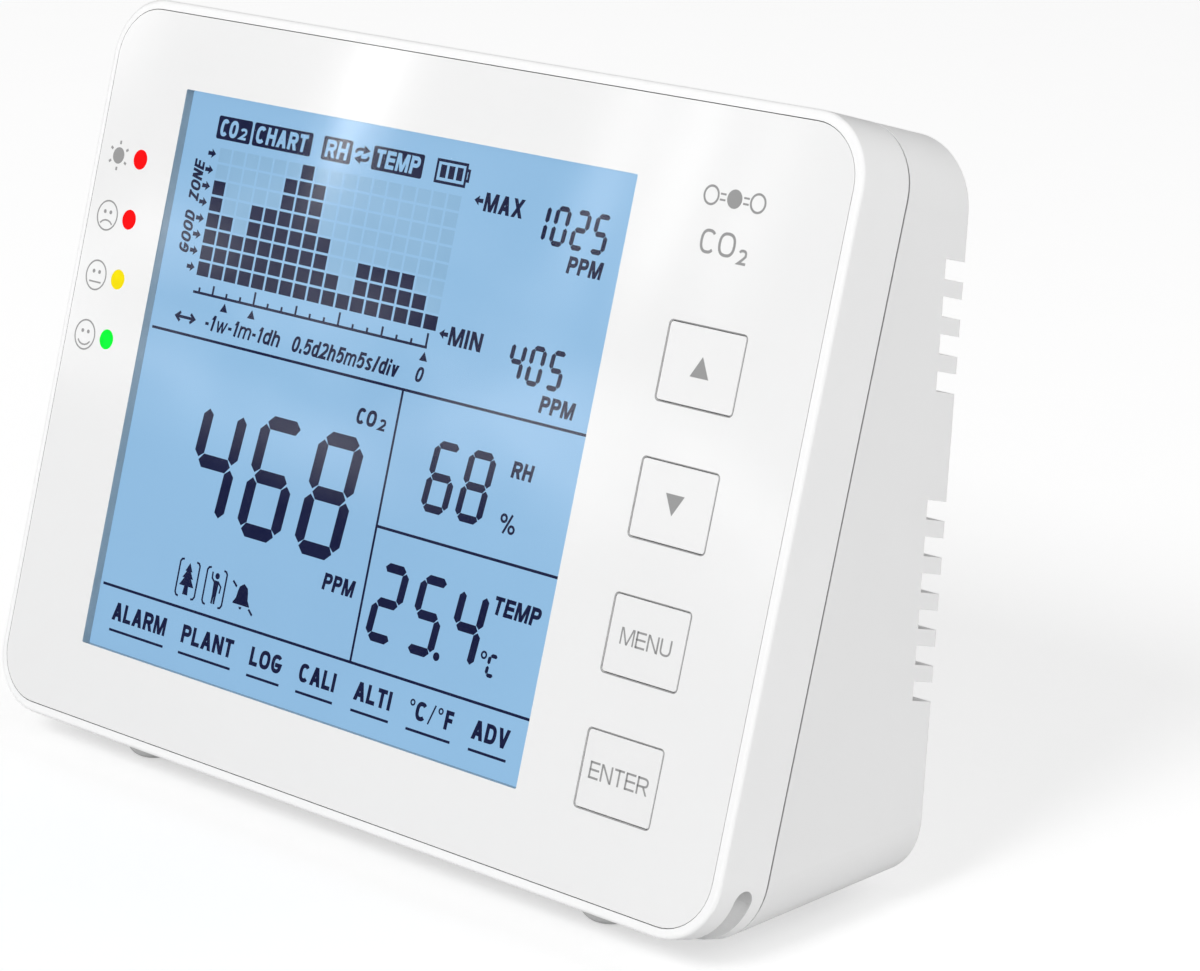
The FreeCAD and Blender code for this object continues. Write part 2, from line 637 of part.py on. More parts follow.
add_rect(face, "shown_left + 0.6", "shown_low - 1.7", "shown_wide - 1.2", "2.9")
cut(carrier, "carrier_openings", face, "board_front")

strip = keep(plain_block("contact_strip", in_frame(
    FACE_FRAME, size("shown_left") + size("shown_wide") / 2, number(GLASS_BACK),
    size("shown_low") - 0.25), "shown_wide - 1.8", "board_front - %s" % GLASS_BACK, "2.5"))

# ------------------------------------------------------------------- main board
board = keep(body_at("main_board", in_frame(FACE_FRAME, 0, 0, 0)))
face = face_sketch(board, "board_outline", "board_front")
add_rect(face, "-57", "4", "114", "82", "4")
pad(board, "board_plate", face, "board_thick")
holes = face_sketch(board, "board_hole_outlines", "board_front")
for side, height in SCREW_SPOTS:
    add_disc(holes, "%d * screw_x" % side, height, "1.3")
cut(board, "board_holes", holes, "board_thick")

# ------------------------------------------------------------ keys and switches
KEY_NAMES = ["key_enter", "key_menu", "key_down", "key_up"]
SWITCH_FRONT = 4.6
STEM_FRONT = 3.7
for place, label in enumerate(KEY_NAMES):
    up = size("key_low") + place * size("key_pitch")
    key = keep(body_at(label, in_frame(FACE_FRAME, size("key_x"), 0, up)))
    face = face_sketch(key, label + "_cap_outline", "0")
    add_rect(face, "-key_wide / 2", "-key_tall / 2", "key_wide", "key_tall", "0.4")
    pad(key, label + "_cap", face, "1.7")
    face = face_sketch(key, label + "_flange_outline", "1.5")
    add_rect(face, "-key_wide / 2 - 0.8", "-key_tall / 2 - 0.8", "key_wide + 1.6",
             "key_tall + 1.6", "0.7")
    pad(key, label + "_flange", face, "1.0")
    face = face_sketch(key, label + "_plunger_outline", "2.4")
    add_disc(face, "0", "0", "1.8")
    pad(key, label + "_plunger", face, "%s - 2.4" % STEM_FRONT)
    soften(key, label + "_edge", lambda m, a, e: abs(m.y) < 1e-4, "0.12")

    stem = keep(body_at(label.replace("key", "switch_stem"), in_frame(
        FACE_FRAME, size("key_x"), STEM_FRONT, up)))
    face = face_sketch(stem, stem.Label + "_outline", "0")
    add_disc(face, "0", "0", "stem_round")
    pad(stem, stem.Label + "_pin", face, "2.0")

switch = plain_block("switch_master", in_frame(FACE_FRAME, 0, 0, 0), "6",
                     "board_front - %s" % SWITCH_FRONT, "6", "0.4")
face = face_sketch(switch, "switch_bore_outline", "0")
add_disc(face, "0", "0", "stem_round + 0.05")
cut(switch, "switch_bore", face, "2.1")
group("key_switches", switch, [
    in_frame(FACE_FRAME, size("key_x"), SWITCH_FRONT, size("key_low") + k * size("key_pitch"))
    for k in range(4)])

# ------------------------------------------------------------ indicator lenses
LENS_NAMES = ["lens_green", "lens_yellow", "lens_red_low", "lens_red_high"]
LED_FRONT = 7.0
for place, label in enumerate(LENS_NAMES):
    up = size("lamp_low") + place * size("lamp_pitch")
    lens = keep(body_at(label, in_frame(FACE_FRAME, size("lamp_x"), 0, up)))
    face = face_sketch(lens, label + "_tip_outline", "0")
    add_disc(face, "0", "0", "lamp_round")
    pad(lens, label + "_tip", face, "floor_top + 0.5")
    face = face_sketch(lens, label + "_shank_outline", "floor_top")
    add_disc(face, "0", "0", "lamp_round + 0.35")
    pad(lens, label + "_shank", face, "%s - floor_top" % LED_FRONT)
led = plain_block("led_master", in_frame(FACE_FRAME, 0, 0, 0), "3.2",
                  "board_front - %s" % LED_FRONT, "2.8", "0.3")
group("indicator_leds", led, [
    in_frame(FACE_FRAME, size("lamp_x"), LED_FRONT, size("lamp_low") + k * size("lamp_pitch"))
    for k in range(4)])

# --------------------------------------------------- parts behind the main board
BACK_OF_BOARD = number(BEHIND_BOARD)
chip = keep(plain_block("controller_chip", in_frame(FACE_FRAME, -6, BACK_OF_BOARD, 66),
                        "10", "1.4", "10", "0.4"))

buzzer = keep(body_at("buzzer", in_frame(FACE_FRAME, -32, BACK_OF_BOARD, 70)))
face = face_sketch(buzzer, "buzzer_outline", "0")
add_disc(face, "0", "0", "6")
pad(buzzer, "buzzer_can", face, "6.5")
face = face_sketch(buzzer, "buzzer_port_outline", "5.5")
add_disc(face, "0", "0", "1.1")
cut(buzzer, "buzzer_port", face, "1.0")

inlet_part = keep(plain_block("power_socket", in_frame(
    FACE_FRAME, -54.9, BACK_OF_BOARD, float(USB_UP)), "7.6", "3.2", "8.9", "0.4"))
mouth_side = FreeCAD.Placement(FreeCAD.Vector(0, 0, -3.8), FreeCAD.Rotation())
mouth_sketch = sketch_on(inlet_part, "socket_mouth_outline", "YZ_Plane", mouth_side)
add_rect(mouth_sketch, "0.4", "-4.05", "0.85", "8.1")
add_rect(mouth_sketch, "1.95", "-4.05", "0.85", "8.1")
cut(inlet_part, "socket_mouth", mouth_sketch, "6", False)

SENSOR_X, SENSOR_UP = 39.5, 59.5
sensor_board = keep(plain_block("sensor_board", in_frame(
    FACE_FRAME, SENSOR_X, BACK_OF_BOARD + 1.0, SENSOR_UP), "20", "1.2", "33", "1"))
header = plain_block("header_master", in_frame(FACE_FRAME, 0, 0, 0), "12", "1.0", "2.4")
group("sensor_headers", header, [
    in_frame(FACE_FRAME, SENSOR_X, BACK_OF_BOARD, SENSOR_UP + side * 14.5) for side in (-1, 1)])

COVER_START = BACK_OF_BOARD + 2.2
cover = keep(plain_block("sensor_cover", in_frame(
    FACE_FRAME, SENSOR_X, COVER_START, SENSOR_UP), "18", "5.0", "28", "1.5"))
face = face_sketch(cover, "cover_hollow_outline", "0")
add_rect(face, "-8.3", "-13.3", "16.6", "26.6", "1")
cut(cover, "cover_hollow", face, "4.2")
face = face_sketch(cover, "gas_port_outlines", "0")
for place in range(5):
    add_rect(face, "-5", "%s" % (-8.8 + 4.0 * place), "10", "1.6", "0.6")
cut(cover, "gas_ports", face, "6")
keep(plain_block("gas_membrane", in_frame(
    FACE_FRAME, SENSOR_X, COVER_START + 5.0, SENSOR_UP), "13", "0.3", "21", "1"))

source = keep(body_at("infrared_lamp", in_frame(
    FACE_FRAME, SENSOR_X, COVER_START, SENSOR_UP - 9)))
face = face_sketch(source, "source_outline", "0")
add_disc(face, "0", "0", "1.6")
pad(source, "source_can", face, "3.4")
detector = keep(body_at("infrared_detector", in_frame(
    FACE_FRAME, SENSOR_X, COVER_START, SENSOR_UP + 8.5)))
face = face_sketch(detector, "detector_outline", "0")
add_disc(face, "0", "0", "2.75")
pad(detector, "detector_can", face, "3.2")

humidity = keep(plain_block("humidity_sensor", in_frame(
    FACE_FRAME, 50, BACK_OF_BOARD, 34), "3", "1.0", "3", "0.2"))
face = face_sketch(humidity, "humidity_port_outline", "0.6")
add_disc(face, "0", "0", "0.7")
cut(humidity, "humidity_port", face, "0.4")

# -------------------------------------------------- battery door, cells, contacts
door = keep(body_at("battery_door", BACK_FRAME))
face = sketch_on(door, "door_outline", "XZ_Plane")
add_rect(face, "-door_half", "door_low", "2 * door_half", "door_high - door_low")
pad(door, "door_plate", face, "door_thick", False)
soften(door, "door_heel", lambda m, a, e: abs(m.z - size("door_low")) < 1e-3
       and abs(a.x) > 10, "door_thick / 2 - 0.02")
soften(door, "door_top_corners", lambda m, a, e: abs(m.z - size("door_high")) < 1e-3
       and abs(a.y) > 1, "1.2")
pin_plane = FreeCAD.Placement(FreeCAD.Vector(0, 0, size("door_half") - 1), FreeCAD.Rotation())
face = sketch_on(door, "pin_outline", "YZ_Plane", pin_plane)
add_disc(face, "-(%s)" % AXIS_OUT, AXIS_UP, "pin_round")
pin = pad(door, "door_pin", face, "2.3", False)
mirror(door, "door_pin_left", [pin])
rib_plane = FreeCAD.Placement(FreeCAD.Vector(0, 0, size("door_thick") - 0.1),
                              FreeCAD.Rotation())
face = sketch_on(door, "rib_outlines", "XZ_Plane", rib_plane)
for side in (-1, 1):
    add_rect(face, "%d * 12 - 1" % side, "17", "2", "29")
pad(door, "door_ribs", face, "0.5", False)
face = sketch_on(door, "grip_outlines", "XZ_Plane")
for place in range(3):
    add_rect(face, "-9", "%s" % (40.5 + 2.4 * place), "18", "1.1", "0.5")
cut(door, "door_grip", face, "0.5", False)

cell = body_at("cell_master", in_frame(FACE_FRAME, 0, 0, 0))
face = sketch_on(cell, "cell_profile", "XY_Plane")
HALF, BUTTON = "cell_long / 2", "(cell_long / 2 + 0.8)"
add_outline(face, [
    ("-%s" % HALF, "0"), ("-%s" % HALF, "cell_round - 0.5"),
    ("-%s + 0.5" % HALF, "cell_round"), ("%s - 0.5" % HALF, "cell_round"),
    (HALF, "cell_round - 0.5"), (HALF, "1.9"), (BUTTON, "1.9"), (BUTTON, "0")])
spin(cell, "cell_can", face, "H_Axis")
CELL_DEEP = -(size("bay_deep") - size("cell_round"))
CELL_SHIFT = size("bay_half") - 0.5 - 0.8 - size("cell_long") / 2
HALF_TURN = FreeCAD.Rotation(FreeCAD.Vector(0, 1, 0), 180)
cell_places, spring_places = [], []
for place in range(3):
    up = size("cell_low") + place * size("cell_pitch")
    way = 1 if place % 2 == 0 else -1
    cell_places.append(in_frame(BACK_FRAME, way * CELL_SHIFT, CELL_DEEP, up,
                                None if way > 0 else HALF_TURN))
    spring_places.append(in_frame(BACK_FRAME, -way * (size("bay_half") - 0.5), CELL_DEEP, up,
                                  FreeCAD.Rotation(FreeCAD.Vector(0, 1, 0), 90 * way)))
group("battery_cells", cell, cell_places)

contacts = keep(body_at("contact_plates", BACK_FRAME))
plate_plane = FreeCAD.Placement(FreeCAD.Vector(0, 0, size("bay_half") - 0.5),
                                FreeCAD.Rotation())
face = sketch_on(contacts, "contact_outlines", "YZ_Plane", plate_plane)
for place in range(3):
    add_rect(face, "%s - 4.2" % CELL_DEEP, "cell_low + %d * cell_pitch - 4.2" % place,
             "8.4", "8.4", "0.8")
plates = pad(contacts, "contacts_right", face, "0.5", False)
mirror(contacts, "contacts_left", [plates])

WIRE = 0.35
SPRING_LONG = 2 * CELL_SHIFT + 0.8 - 2 * WIRE
coil = doc.addObject("Part::Helix", "coil_line")
coil.Pitch, coil.Height, coil.Radius = SPRING_LONG / 4, SPRING_LONG, 3.4
wire = doc.addObject("Part::RegularPolygon", "coil_wire")
wire.Polygon, wire.Circumradius = 8, WIRE
wire.Placement = FreeCAD.Placement(FreeCAD.Vector(3.4, 0, 0),
                                   FreeCAD.Rotation(FreeCAD.Vector(1, 0, 0), 90))
spring = doc.addObject("Part::Sweep", "spring_master")
spring.Sections, spring.Spine, spring.Solid, spring.Frenet = [wire], (coil, []), True, True
doc.recompute()
lift = FreeCAD.Placement(FreeCAD.Vector(0, 0, WIRE), FreeCAD.Rotation())
group("battery_springs", spring, [place.multiply(lift) for place in spring_places])

# --------------------------------------------------------------- screws and feet
screw = body_at("screw_master", in_frame(FACE_FRAME, 0, 0, 0))
face = sketch_on(screw, "screw_profile", "XY_Plane")
add_outline(face, [("0", "1.5"), ("1.5", "1.5"), ("2.1", "0.9"), ("2.1", "0"),
                   ("0.98", "0"), ("0.98", "-11.4"), ("0.4", "-12"), ("0", "-12")])
spin(screw, "screw_turned", face)
for name, wide, tall in (("cross_a", "2.4", "0.55"), ("cross_b", "0.55", "2.4")):
    face = face_sketch(screw, name + "_outline", "0.7")
    add_rect(face, "-%s / 2" % wide, "-%s / 2" % tall, wide, tall)
    cut(screw, name, face, "1.0")
group("case_screws", screw, [
    in_frame(FACE_FRAME, side * size("screw_x"), size("screw_seat"), size(height))
    for side, height in SCREW_SPOTS])

foot = body_at("foot_master", FreeCAD.Placement())
face = sketch_on(foot, "foot_outline", "XY_Plane")
add_disc(face, "0", "0", "foot_round")
pad(foot, "foot_pad", face, "foot_drop + foot_socket", False)
soften(foot, "foot_dome", lambda m, a, e: abs(m.z) < 1e-4, "foot_drop - 0.05")
for label, row_of in (("front_feet", "front_foot"), ("rear_feet", "rear_foot")):
    back = (size("seam_deep") * COS_LEAN - SPAN / 2) + size(row_of)
    group(label, foot, [FreeCAD.Placement(FreeCAD.Vector(side * size("foot_x"), back, 0),
                                          FreeCAD.Rotation()) for side in (-1, 1)])

# --------------------------------------------------------------------- write out
doc.recompute()
for item in doc.Objects:
    if "Invalid" in item.State or "Error" in item.State:
        raise ValueError("%s is in state %s" % (item.Name, item.State))
for node in nodes:
    if node.Shape.isNull() or not node.Shape.isValid():
        raise ValueError("bad shape in " + node.Label)
os.makedirs("parts", exist_ok=True)
for node in nodes:
    node.Shape.exportStep(os.path.join("parts", node.Label + ".step"))
print(len(nodes), "nodes written")
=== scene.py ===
"""Looks of a desktop carbon dioxide monitor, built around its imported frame. Metres, Z up."""
import math

import bmesh
import bpy
from mathutils import Matrix, Vector


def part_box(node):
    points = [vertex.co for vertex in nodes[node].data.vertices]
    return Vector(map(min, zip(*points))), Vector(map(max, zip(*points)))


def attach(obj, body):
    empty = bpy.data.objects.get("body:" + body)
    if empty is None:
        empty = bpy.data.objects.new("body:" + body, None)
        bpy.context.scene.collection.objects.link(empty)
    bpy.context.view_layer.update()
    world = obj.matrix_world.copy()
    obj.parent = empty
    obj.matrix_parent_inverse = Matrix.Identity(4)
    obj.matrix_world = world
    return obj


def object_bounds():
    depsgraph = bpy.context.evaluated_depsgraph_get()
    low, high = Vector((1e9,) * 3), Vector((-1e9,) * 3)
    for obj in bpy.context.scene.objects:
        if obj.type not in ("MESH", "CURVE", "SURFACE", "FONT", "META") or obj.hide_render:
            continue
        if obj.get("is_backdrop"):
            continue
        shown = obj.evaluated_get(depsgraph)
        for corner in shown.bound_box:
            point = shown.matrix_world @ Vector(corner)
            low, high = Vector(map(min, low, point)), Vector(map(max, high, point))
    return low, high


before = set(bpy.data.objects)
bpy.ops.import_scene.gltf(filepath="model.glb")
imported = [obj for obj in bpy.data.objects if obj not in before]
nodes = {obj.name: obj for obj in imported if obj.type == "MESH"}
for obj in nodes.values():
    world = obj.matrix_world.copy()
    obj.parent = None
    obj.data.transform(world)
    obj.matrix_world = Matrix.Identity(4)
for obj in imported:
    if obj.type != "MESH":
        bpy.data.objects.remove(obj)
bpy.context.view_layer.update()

# The face frame, in millimetres: u right and v up the leaning front face, w into the case.
LEAN = math.radians(16.0)
SIN, COS = math.sin(LEAN), math.cos(LEAN)
PANEL_EDGE, PANEL_THICK = 1.3, 1.2
panel_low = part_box("front_panel")[0] * 1000
ORIGIN = Vector((0.0, panel_low.y - PANEL_EDGE * SIN,
                 panel_low.z - PANEL_EDGE * COS + PANEL_THICK * SIN))
FACE = Matrix(((0.001, 0, 0, 0),
               (0, SIN * 0.001, COS * 0.001, ORIGIN.y * 0.001),
               (0, COS * 0.001, -SIN * 0.001, ORIGIN.z * 0.001),
               (0, 0, 0, 1)))
FACE_OUT = (0.0, -COS, SIN)


# ------------------------------------------------------------------ material nodes
class Shader:
    """A new material with one Principled shader and short calls for its nodes."""

    def __init__(self, name, **constants):
        self.material = bpy.data.materials.new(name)
        self.material.use_nodes = True
        self.tree = self.material.node_tree
        self.tree.nodes.clear()
        self.out = self.tree.nodes.new("ShaderNodeOutputMaterial")
        self.main = self.add("ShaderNodeBsdfPrincipled")
        self.link(self.main, "BSDF", self.out, "Surface")
        self.place = self.add("ShaderNodeTexCoord")
        for socket, value in constants.items():
            self.main.inputs[socket.replace("_", " ")].default_value = value

    def add(self, kind, **settings):
        node = self.tree.nodes.new(kind)
        for key, value in settings.items():
            setattr(node, key, value)
        return node

    def link(self, source, output, target, socket):
        self.tree.links.new(source.outputs[output], target.inputs[socket])

    def noise(self, scale, detail=3.0, stretch=None):
        node = self.add("ShaderNodeTexNoise")
        node.inputs["Scale"].default_value = scale
        node.inputs["Detail"].default_value = detail
        if stretch:
            shape = self.add("ShaderNodeMapping")
            shape.inputs["Scale"].default_value = stretch
            self.link(self.place, "Object", shape, "Vector")
            self.link(shape, "Vector", node, "Vector")
        else:
            self.link(self.place, "Object", node, "Vector")
        return node

    def ramp(self, source, output, stops):
        node = self.add("ShaderNodeValToRGB")
        self.link(source, output, node, "Fac")
        band = node.color_ramp
        band.elements[0].position, band.elements[0].color = stops[0][0], (*stops[0][1], 1)
        band.elements[1].position, band.elements[1].color = stops[-1][0], (*stops[-1][1], 1)
        for position, colour in stops[1:-1]:
            band.elements.new(position).color = (*colour, 1)
        return node

    def spread(self, source, output, low, high, first=0.3, last=0.7):
        node = self.add("ShaderNodeMapRange")
        self.link(source, output, node, "Value")
        for socket, value in (("From Min", first), ("From Max", last),
                              ("To Min", low), ("To Max", high)):
            node.inputs[socket].default_value = value
        return node

    def bump(self, source, output, distance, strength=1.0):
        node = self.add("ShaderNodeBump")
        node.inputs["Strength"].default_value = strength
        node.inputs["Distance"].default_value = distance
        self.link(source, output, node, "Height")
        self.link(node, "Normal", self.main, "Normal")
        return node

    def mix(self, factor, output, one, other):
        """Colour mix: one and other are (node, output) pairs."""
        node = self.add("ShaderNodeMix", data_type="RGBA")
        self.link(factor, output, node, "Factor")
        self.tree.links.new(one[0].outputs[one[1]], node.inputs[6])
        self.tree.links.new(other[0].outputs[other[1]], node.inputs[7])
        return node


def grey(level):
    """A neutral colour."""
    return (level,) * 3


def linear(*srgb):
    """Screen colour values 0 to 255 as linear light."""
    return tuple(((c / 255 + 0.055) / 1.055) ** 2.4 if c > 10 else c / 255 / 12.92
                 for c in srgb)


def moulded(name, colour, drift=0.02, rough=(0.35, 0.45), grain=9000.0, lift=4e-6, **constants):
    """Moulded or coated surface: close colour tones, uneven gloss and a fine grain."""
    made = Shader(name, **constants)
    wide = made.noise(60.0, 4.0)
    low = tuple(c * (1 - drift) for c in colour)
    high = tuple(min(1.0, c * (1 + drift)) for c in colour)
    tone = made.ramp(wide, "Fac", [(0.3, low), (0.7, high)])
    made.link(tone, "Color", made.main, "Base Color")
    sheen = made.spread(made.noise(240.0, 3.0), "Fac", *rough)
    made.link(sheen, "Result", made.main, "Roughness")
    made.bump(made.noise(grain, 2.0), "Fac", lift)
    return made


def paint_shade_in_hollows(made, depth, dark):
    """Paint shade into a moulding's colour inside its grooves, scoops and slots, darker where ambient
    occlusion finds it closed in.
    """
    tone = made.main.inputs["Base Color"].links[0].from_node
    open_air = made.add("ShaderNodeAmbientOcclusion")
    open_air.inputs["Distance"].default_value = depth
    painted_shade = made.ramp(made.noise(80.0), "Fac", [(0.3, grey(dark)), (0.7, grey(dark * 1.04))])
    how_open = made.spread(open_air, "AO", 0.0, 1.0, 0.35, 0.95)
    shade = made.mix(how_open, "Result", (painted_shade, "Color"), (tone, "Color"))
    made.link(shade, "Result", made.main, "Base Color")


def dress(slot_material, *names):
    """Give CAD nodes a material in place of their plain one."""
    for name in names:
        data = nodes[name].data
        data.materials.clear()
        data.materials.append(slot_material.material)


bezel = moulded("bezel_satin", grey(0.89), 0.006, (0.30, 0.38), 7000.0, 1.5e-6)
# Painted shade: the bezel's grooves, finger scoops and slots are darkened in its colour.
paint_shade_in_hollows(bezel, depth=0.0025, dark=0.16)
dress(bezel, "front_bezel")
housing = moulded("housing_satin", grey(0.84), 0.008, (0.42, 0.52), 5200.0, 5e-6)
# Painted shade: the housing's grooves and slots are lightly darkened in its colour.
paint_shade_in_hollows(housing, depth=0.0025, dark=0.68)
dress(housing, "rear_housing", "battery_door")

# Glossy panel: white front, and walls where its openings cut through it. The walls of the display's
# opening carry painted light and shade, blue-grey for the display's glow on white walls in shade;
# those of the lamps on its left and the keys on its right are grey.
LAMPS_END, DISPLAY_END, EDGE_BLUR = -0.0480, 0.0330, 0.0001
panel = Shader("panel_gloss", Specular_IOR_Level=0.35)
front = panel.ramp(panel.noise(25.0, 3.0), "Fac", [(0.3, grey(0.800)), (0.7, grey(0.812))])
# Painted light and shade: the display's blue glow and the shade on the walls of its opening.
wall_painted_glow_and_shade = panel.ramp(panel.noise(900.0, 2.0), "Fac",
                       [(0.3, linear(157, 173, 183)), (0.7, linear(163, 178, 188))])
wall_grey = panel.ramp(panel.noise(900.0, 2.0), "Fac", [(0.3, grey(0.80)), (0.7, grey(0.84))])
spot = panel.add("ShaderNodeSeparateXYZ")
panel.link(panel.place, "Object", spot, "Vector")
at_keys = panel.spread(spot, "X", 0.0, 1.0, DISPLAY_END, DISPLAY_END + EDGE_BLUR)
at_lamps = panel.spread(spot, "X", 1.0, 0.0, LAMPS_END, LAMPS_END + EDGE_BLUR)
not_display = panel.add("ShaderNodeMath", operation="MAXIMUM")
panel.link(at_keys, "Result", not_display, 0)
panel.link(at_lamps, "Result", not_display, 1)
wall = panel.mix(not_display, "Value", (wall_painted_glow_and_shade, "Color"), (wall_grey, "Color"))
facing = panel.add("ShaderNodeVectorMath", operation="DOT_PRODUCT")
panel.link(panel.place, "Normal", facing, 0)
facing.inputs[1].default_value = FACE_OUT
is_front = panel.spread(facing, "Value", 0.0, 1.0, 0.6, 0.8)
shade = panel.mix(is_front, "Result", (wall, "Result"), (front, "Color"))
panel.link(shade, "Result", panel.main, "Base Color")
panel.link(panel.spread(panel.noise(120.0, 2.0), "Fac", 0.05, 0.07), "Result",
           panel.main, "Roughness")
panel.bump(panel.noise(55.0, 2.0), "Fac", 2.5e-5, 0.25)
dress(panel, "front_panel")

key_cap = moulded("key_gloss", grey(0.80), 0.006, (0.10, 0.15), 3000.0, 3e-7,
                  Specular_IOR_Level=0.35)
dress(key_cap, "key_enter", "key_menu", "key_down", "key_up")


def clear_sheet(name, tint, index):
    """Clear window: light passes straight through, and its outer face reflects a little."""
    made = Shader(name)
    through = made.add("ShaderNodeBsdfTransparent")
    tone = made.ramp(made.noise(30.0), "Fac",
                     [(0.3, tint), (0.7, tuple(min(1.0, c * 1.004) for c in tint))])
    made.link(tone, "Color", through, "Color")
    mirror = made.add("ShaderNodeBsdfGlossy")
    mirror.inputs["Roughness"].default_value = 0.04
    fresnel = made.add("ShaderNodeFresnel")
    fresnel.inputs["IOR"].default_value = index
    blend = made.add("ShaderNodeMixShader")
    side = made.spread(made.add("ShaderNodeNewGeometry"), "Backfacing", 1.0, 0.0, 0.0, 1.0)
    outward = made.add("ShaderNodeMath", operation="MULTIPLY")
    made.link(fresnel, "Fac", outward, 0)
    made.link(side, "Result", outward, 1)
    made.link(outward, "Value", blend, "Fac")
    made.tree.links.new(through.outputs["BSDF"], blend.inputs[1])
    made.tree.links.new(mirror.outputs["BSDF"], blend.inputs[2])
    made.link(blend, "Shader", made.out, "Surface")
    return made


dress(clear_sheet("pane_clear", (0.985, 0.995, 1.0), 1.5), "display_window")


def glowing(name, low, high, strength, scale):
    """Surface lit from behind, with a slightly uneven glow."""
    made = Shader(name, Roughness=0.35, Specular_IOR_Level=0.1, Emission_Strength=strength)
    tone = made.ramp(made.noise(scale, 2.0), "Fac", [(0.3, low), (0.7, high)])
    made.link(tone, "Color", made.main, "Emission Color")
    base = made.ramp(made.noise(scale * 2, 2.0), "Fac",
                     [(0.3, tuple(c * 0.05 for c in low)), (0.7, tuple(c * 0.06 for c in high))])
    made.link(base, "Color", made.main, "Base Color")
    made.bump(made.noise(2500.0, 2.0), "Fac", 5e-7)
    return made


LCD_LOW, LCD_HIGH = linear(145, 187, 223), linear(148, 190, 226)
backlit = glowing("display_glow", LCD_LOW, LCD_HIGH, 1.0, 30.0)
dress(backlit, "display_glass")
ghost = glowing("display_ghost", linear(139, 179, 212), linear(142, 182, 215), 1.0, 200.0)
navy = glowing("display_ink", linear(22, 27, 63), linear(28, 33, 69), 0.9, 300.0)
label_glow = glowing("display_letter_glow", LCD_LOW, LCD_HIGH, 1.0, 60.0)

lamps = {
    "lens_red_high": (linear(246, 0, 4), linear(252, 4, 10)),
    "lens_red_low": (linear(246, 0, 4), linear(252, 4, 10)),
    "lens_yellow": (linear(240, 218, 0), linear(248, 228, 6)),
    "lens_green": (linear(0, 240, 52), linear(6, 255, 62)),
}
for name, (low, high) in lamps.items():
    dress(glowing(name + "_lit", low, high, 1.0, 500.0), name)

ink = moulded("grey_ink", linear(150, 150, 150), 0.03, (0.35, 0.45), 6000.0, 4e-7,
              Specular_IOR_Level=0.25)
rubber = moulded("foot_silicone", grey(0.60), 0.03, (0.5, 0.65), 2600.0, 1e-5)
dress(rubber, "front_feet", "rear_feet")

# --------------------------------------------------------------- inner materials
dress(moulded("carrier_abs", (0.78, 0.78, 0.74), 0.02, (0.5, 0.6), 4200.0, 6e-6),
      "display_carrier", "indicator_leds", "gas_membrane")
dress(clear_sheet("guide_acrylic", (0.93, 0.97, 0.99), 1.4), "light_guide")
dress(moulded("reflector_film", (0.85, 0.86, 0.87), 0.01, (0.12, 0.2), 900.0, 1e-6, Metallic=1.0),
      "light_reflector")
dress(moulded("black_moulding", (0.03, 0.03, 0.033), 0.12, (0.45, 0.6), 3500.0, 6e-6),
      "key_switches", "controller_chip", "buzzer", "sensor_headers", "humidity_sensor")
dress(moulded("switch_stem", (0.16, 0.06, 0.05), 0.08, (0.4, 0.5), 3500.0, 5e-6),
      "switch_stem_enter", "switch_stem_menu", "switch_stem_down", "switch_stem_up")
dress(moulded("plated", (0.66, 0.66, 0.64), 0.05, (0.22, 0.36), 2600.0, 2e-6, Metallic=1.0),
      "power_socket", "contact_plates", "battery_springs", "case_screws",
      "infrared_detector", "infrared_lamp")
dress(moulded("gold_plate", (0.78, 0.58, 0.24), 0.06, (0.22, 0.32), 1800.0, 2e-6, Metallic=1.0),
      "sensor_cover")


def circuit_board(name):
    """Green solder mask with darker tracks in two directions under it."""
    made = Shader(name, Coat_Weight=0.4, Coat_Roughness=0.12)
    grid = made.add("ShaderNodeTexBrick")
    grid.inputs["Scale"].default_value = 620.0
    grid.inputs["Mortar Size"].default_value = 0.035
    grid.inputs["Brick Width"].default_value = 2.4
    grid.inputs["Row Height"].default_value = 0.9
    turn = made.add("ShaderNodeMapping")
    turn.inputs["Rotation"].default_value = (math.radians(90.0), 0.0, 0.0)
    made.link(made.place, "Object", turn, "Vector")
    made.link(turn, "Vector", grid, "Vector")
    mask = made.ramp(made.noise(90.0), "Fac",
                     [(0.3, (0.012, 0.115, 0.045)), (0.7, (0.016, 0.15, 0.06))])
    track = made.ramp(made.noise(200.0), "Fac",
                      [(0.3, (0.02, 0.20, 0.08)), (0.7, (0.03, 0.24, 0.10))])
    tone = made.mix(grid, "Fac", (mask, "Color"), (track, "Color"))
    made.link(tone, "Result", made.main, "Base Color")
    made.link(made.spread(made.noise(400.0), "Fac", 0.3, 0.42), "Result", made.main, "Roughness")
    made.bump(grid, "Fac", 1.5e-5)
    return made


dress(circuit_board("board_mask"), "main_board", "sensor_board")


def banded(name, one, other, width):
    """Two layers of colour that take turns along x."""
    made = Shader(name)
    wave = made.add("ShaderNodeTexWave", wave_type="BANDS", bands_direction="X")
    wave.inputs["Scale"].default_value = 1.0 / width / 20.0
    made.link(made.place, "Object", wave, "Vector")
    tone = made.ramp(wave, "Fac", [(0.45, one), (0.55, other)])
    made.link(tone, "Color", made.main, "Base Color")
    made.link(made.spread(made.noise(500.0), "Fac", 0.45, 0.6), "Result", made.main, "Roughness")
    made.bump(made.noise(3000.0), "Fac", 5e-6)
    return made


dress(banded("layered_silicone", (0.75, 0.50, 0.50), (0.12, 0.12, 0.12), 0.0008), "contact_strip")

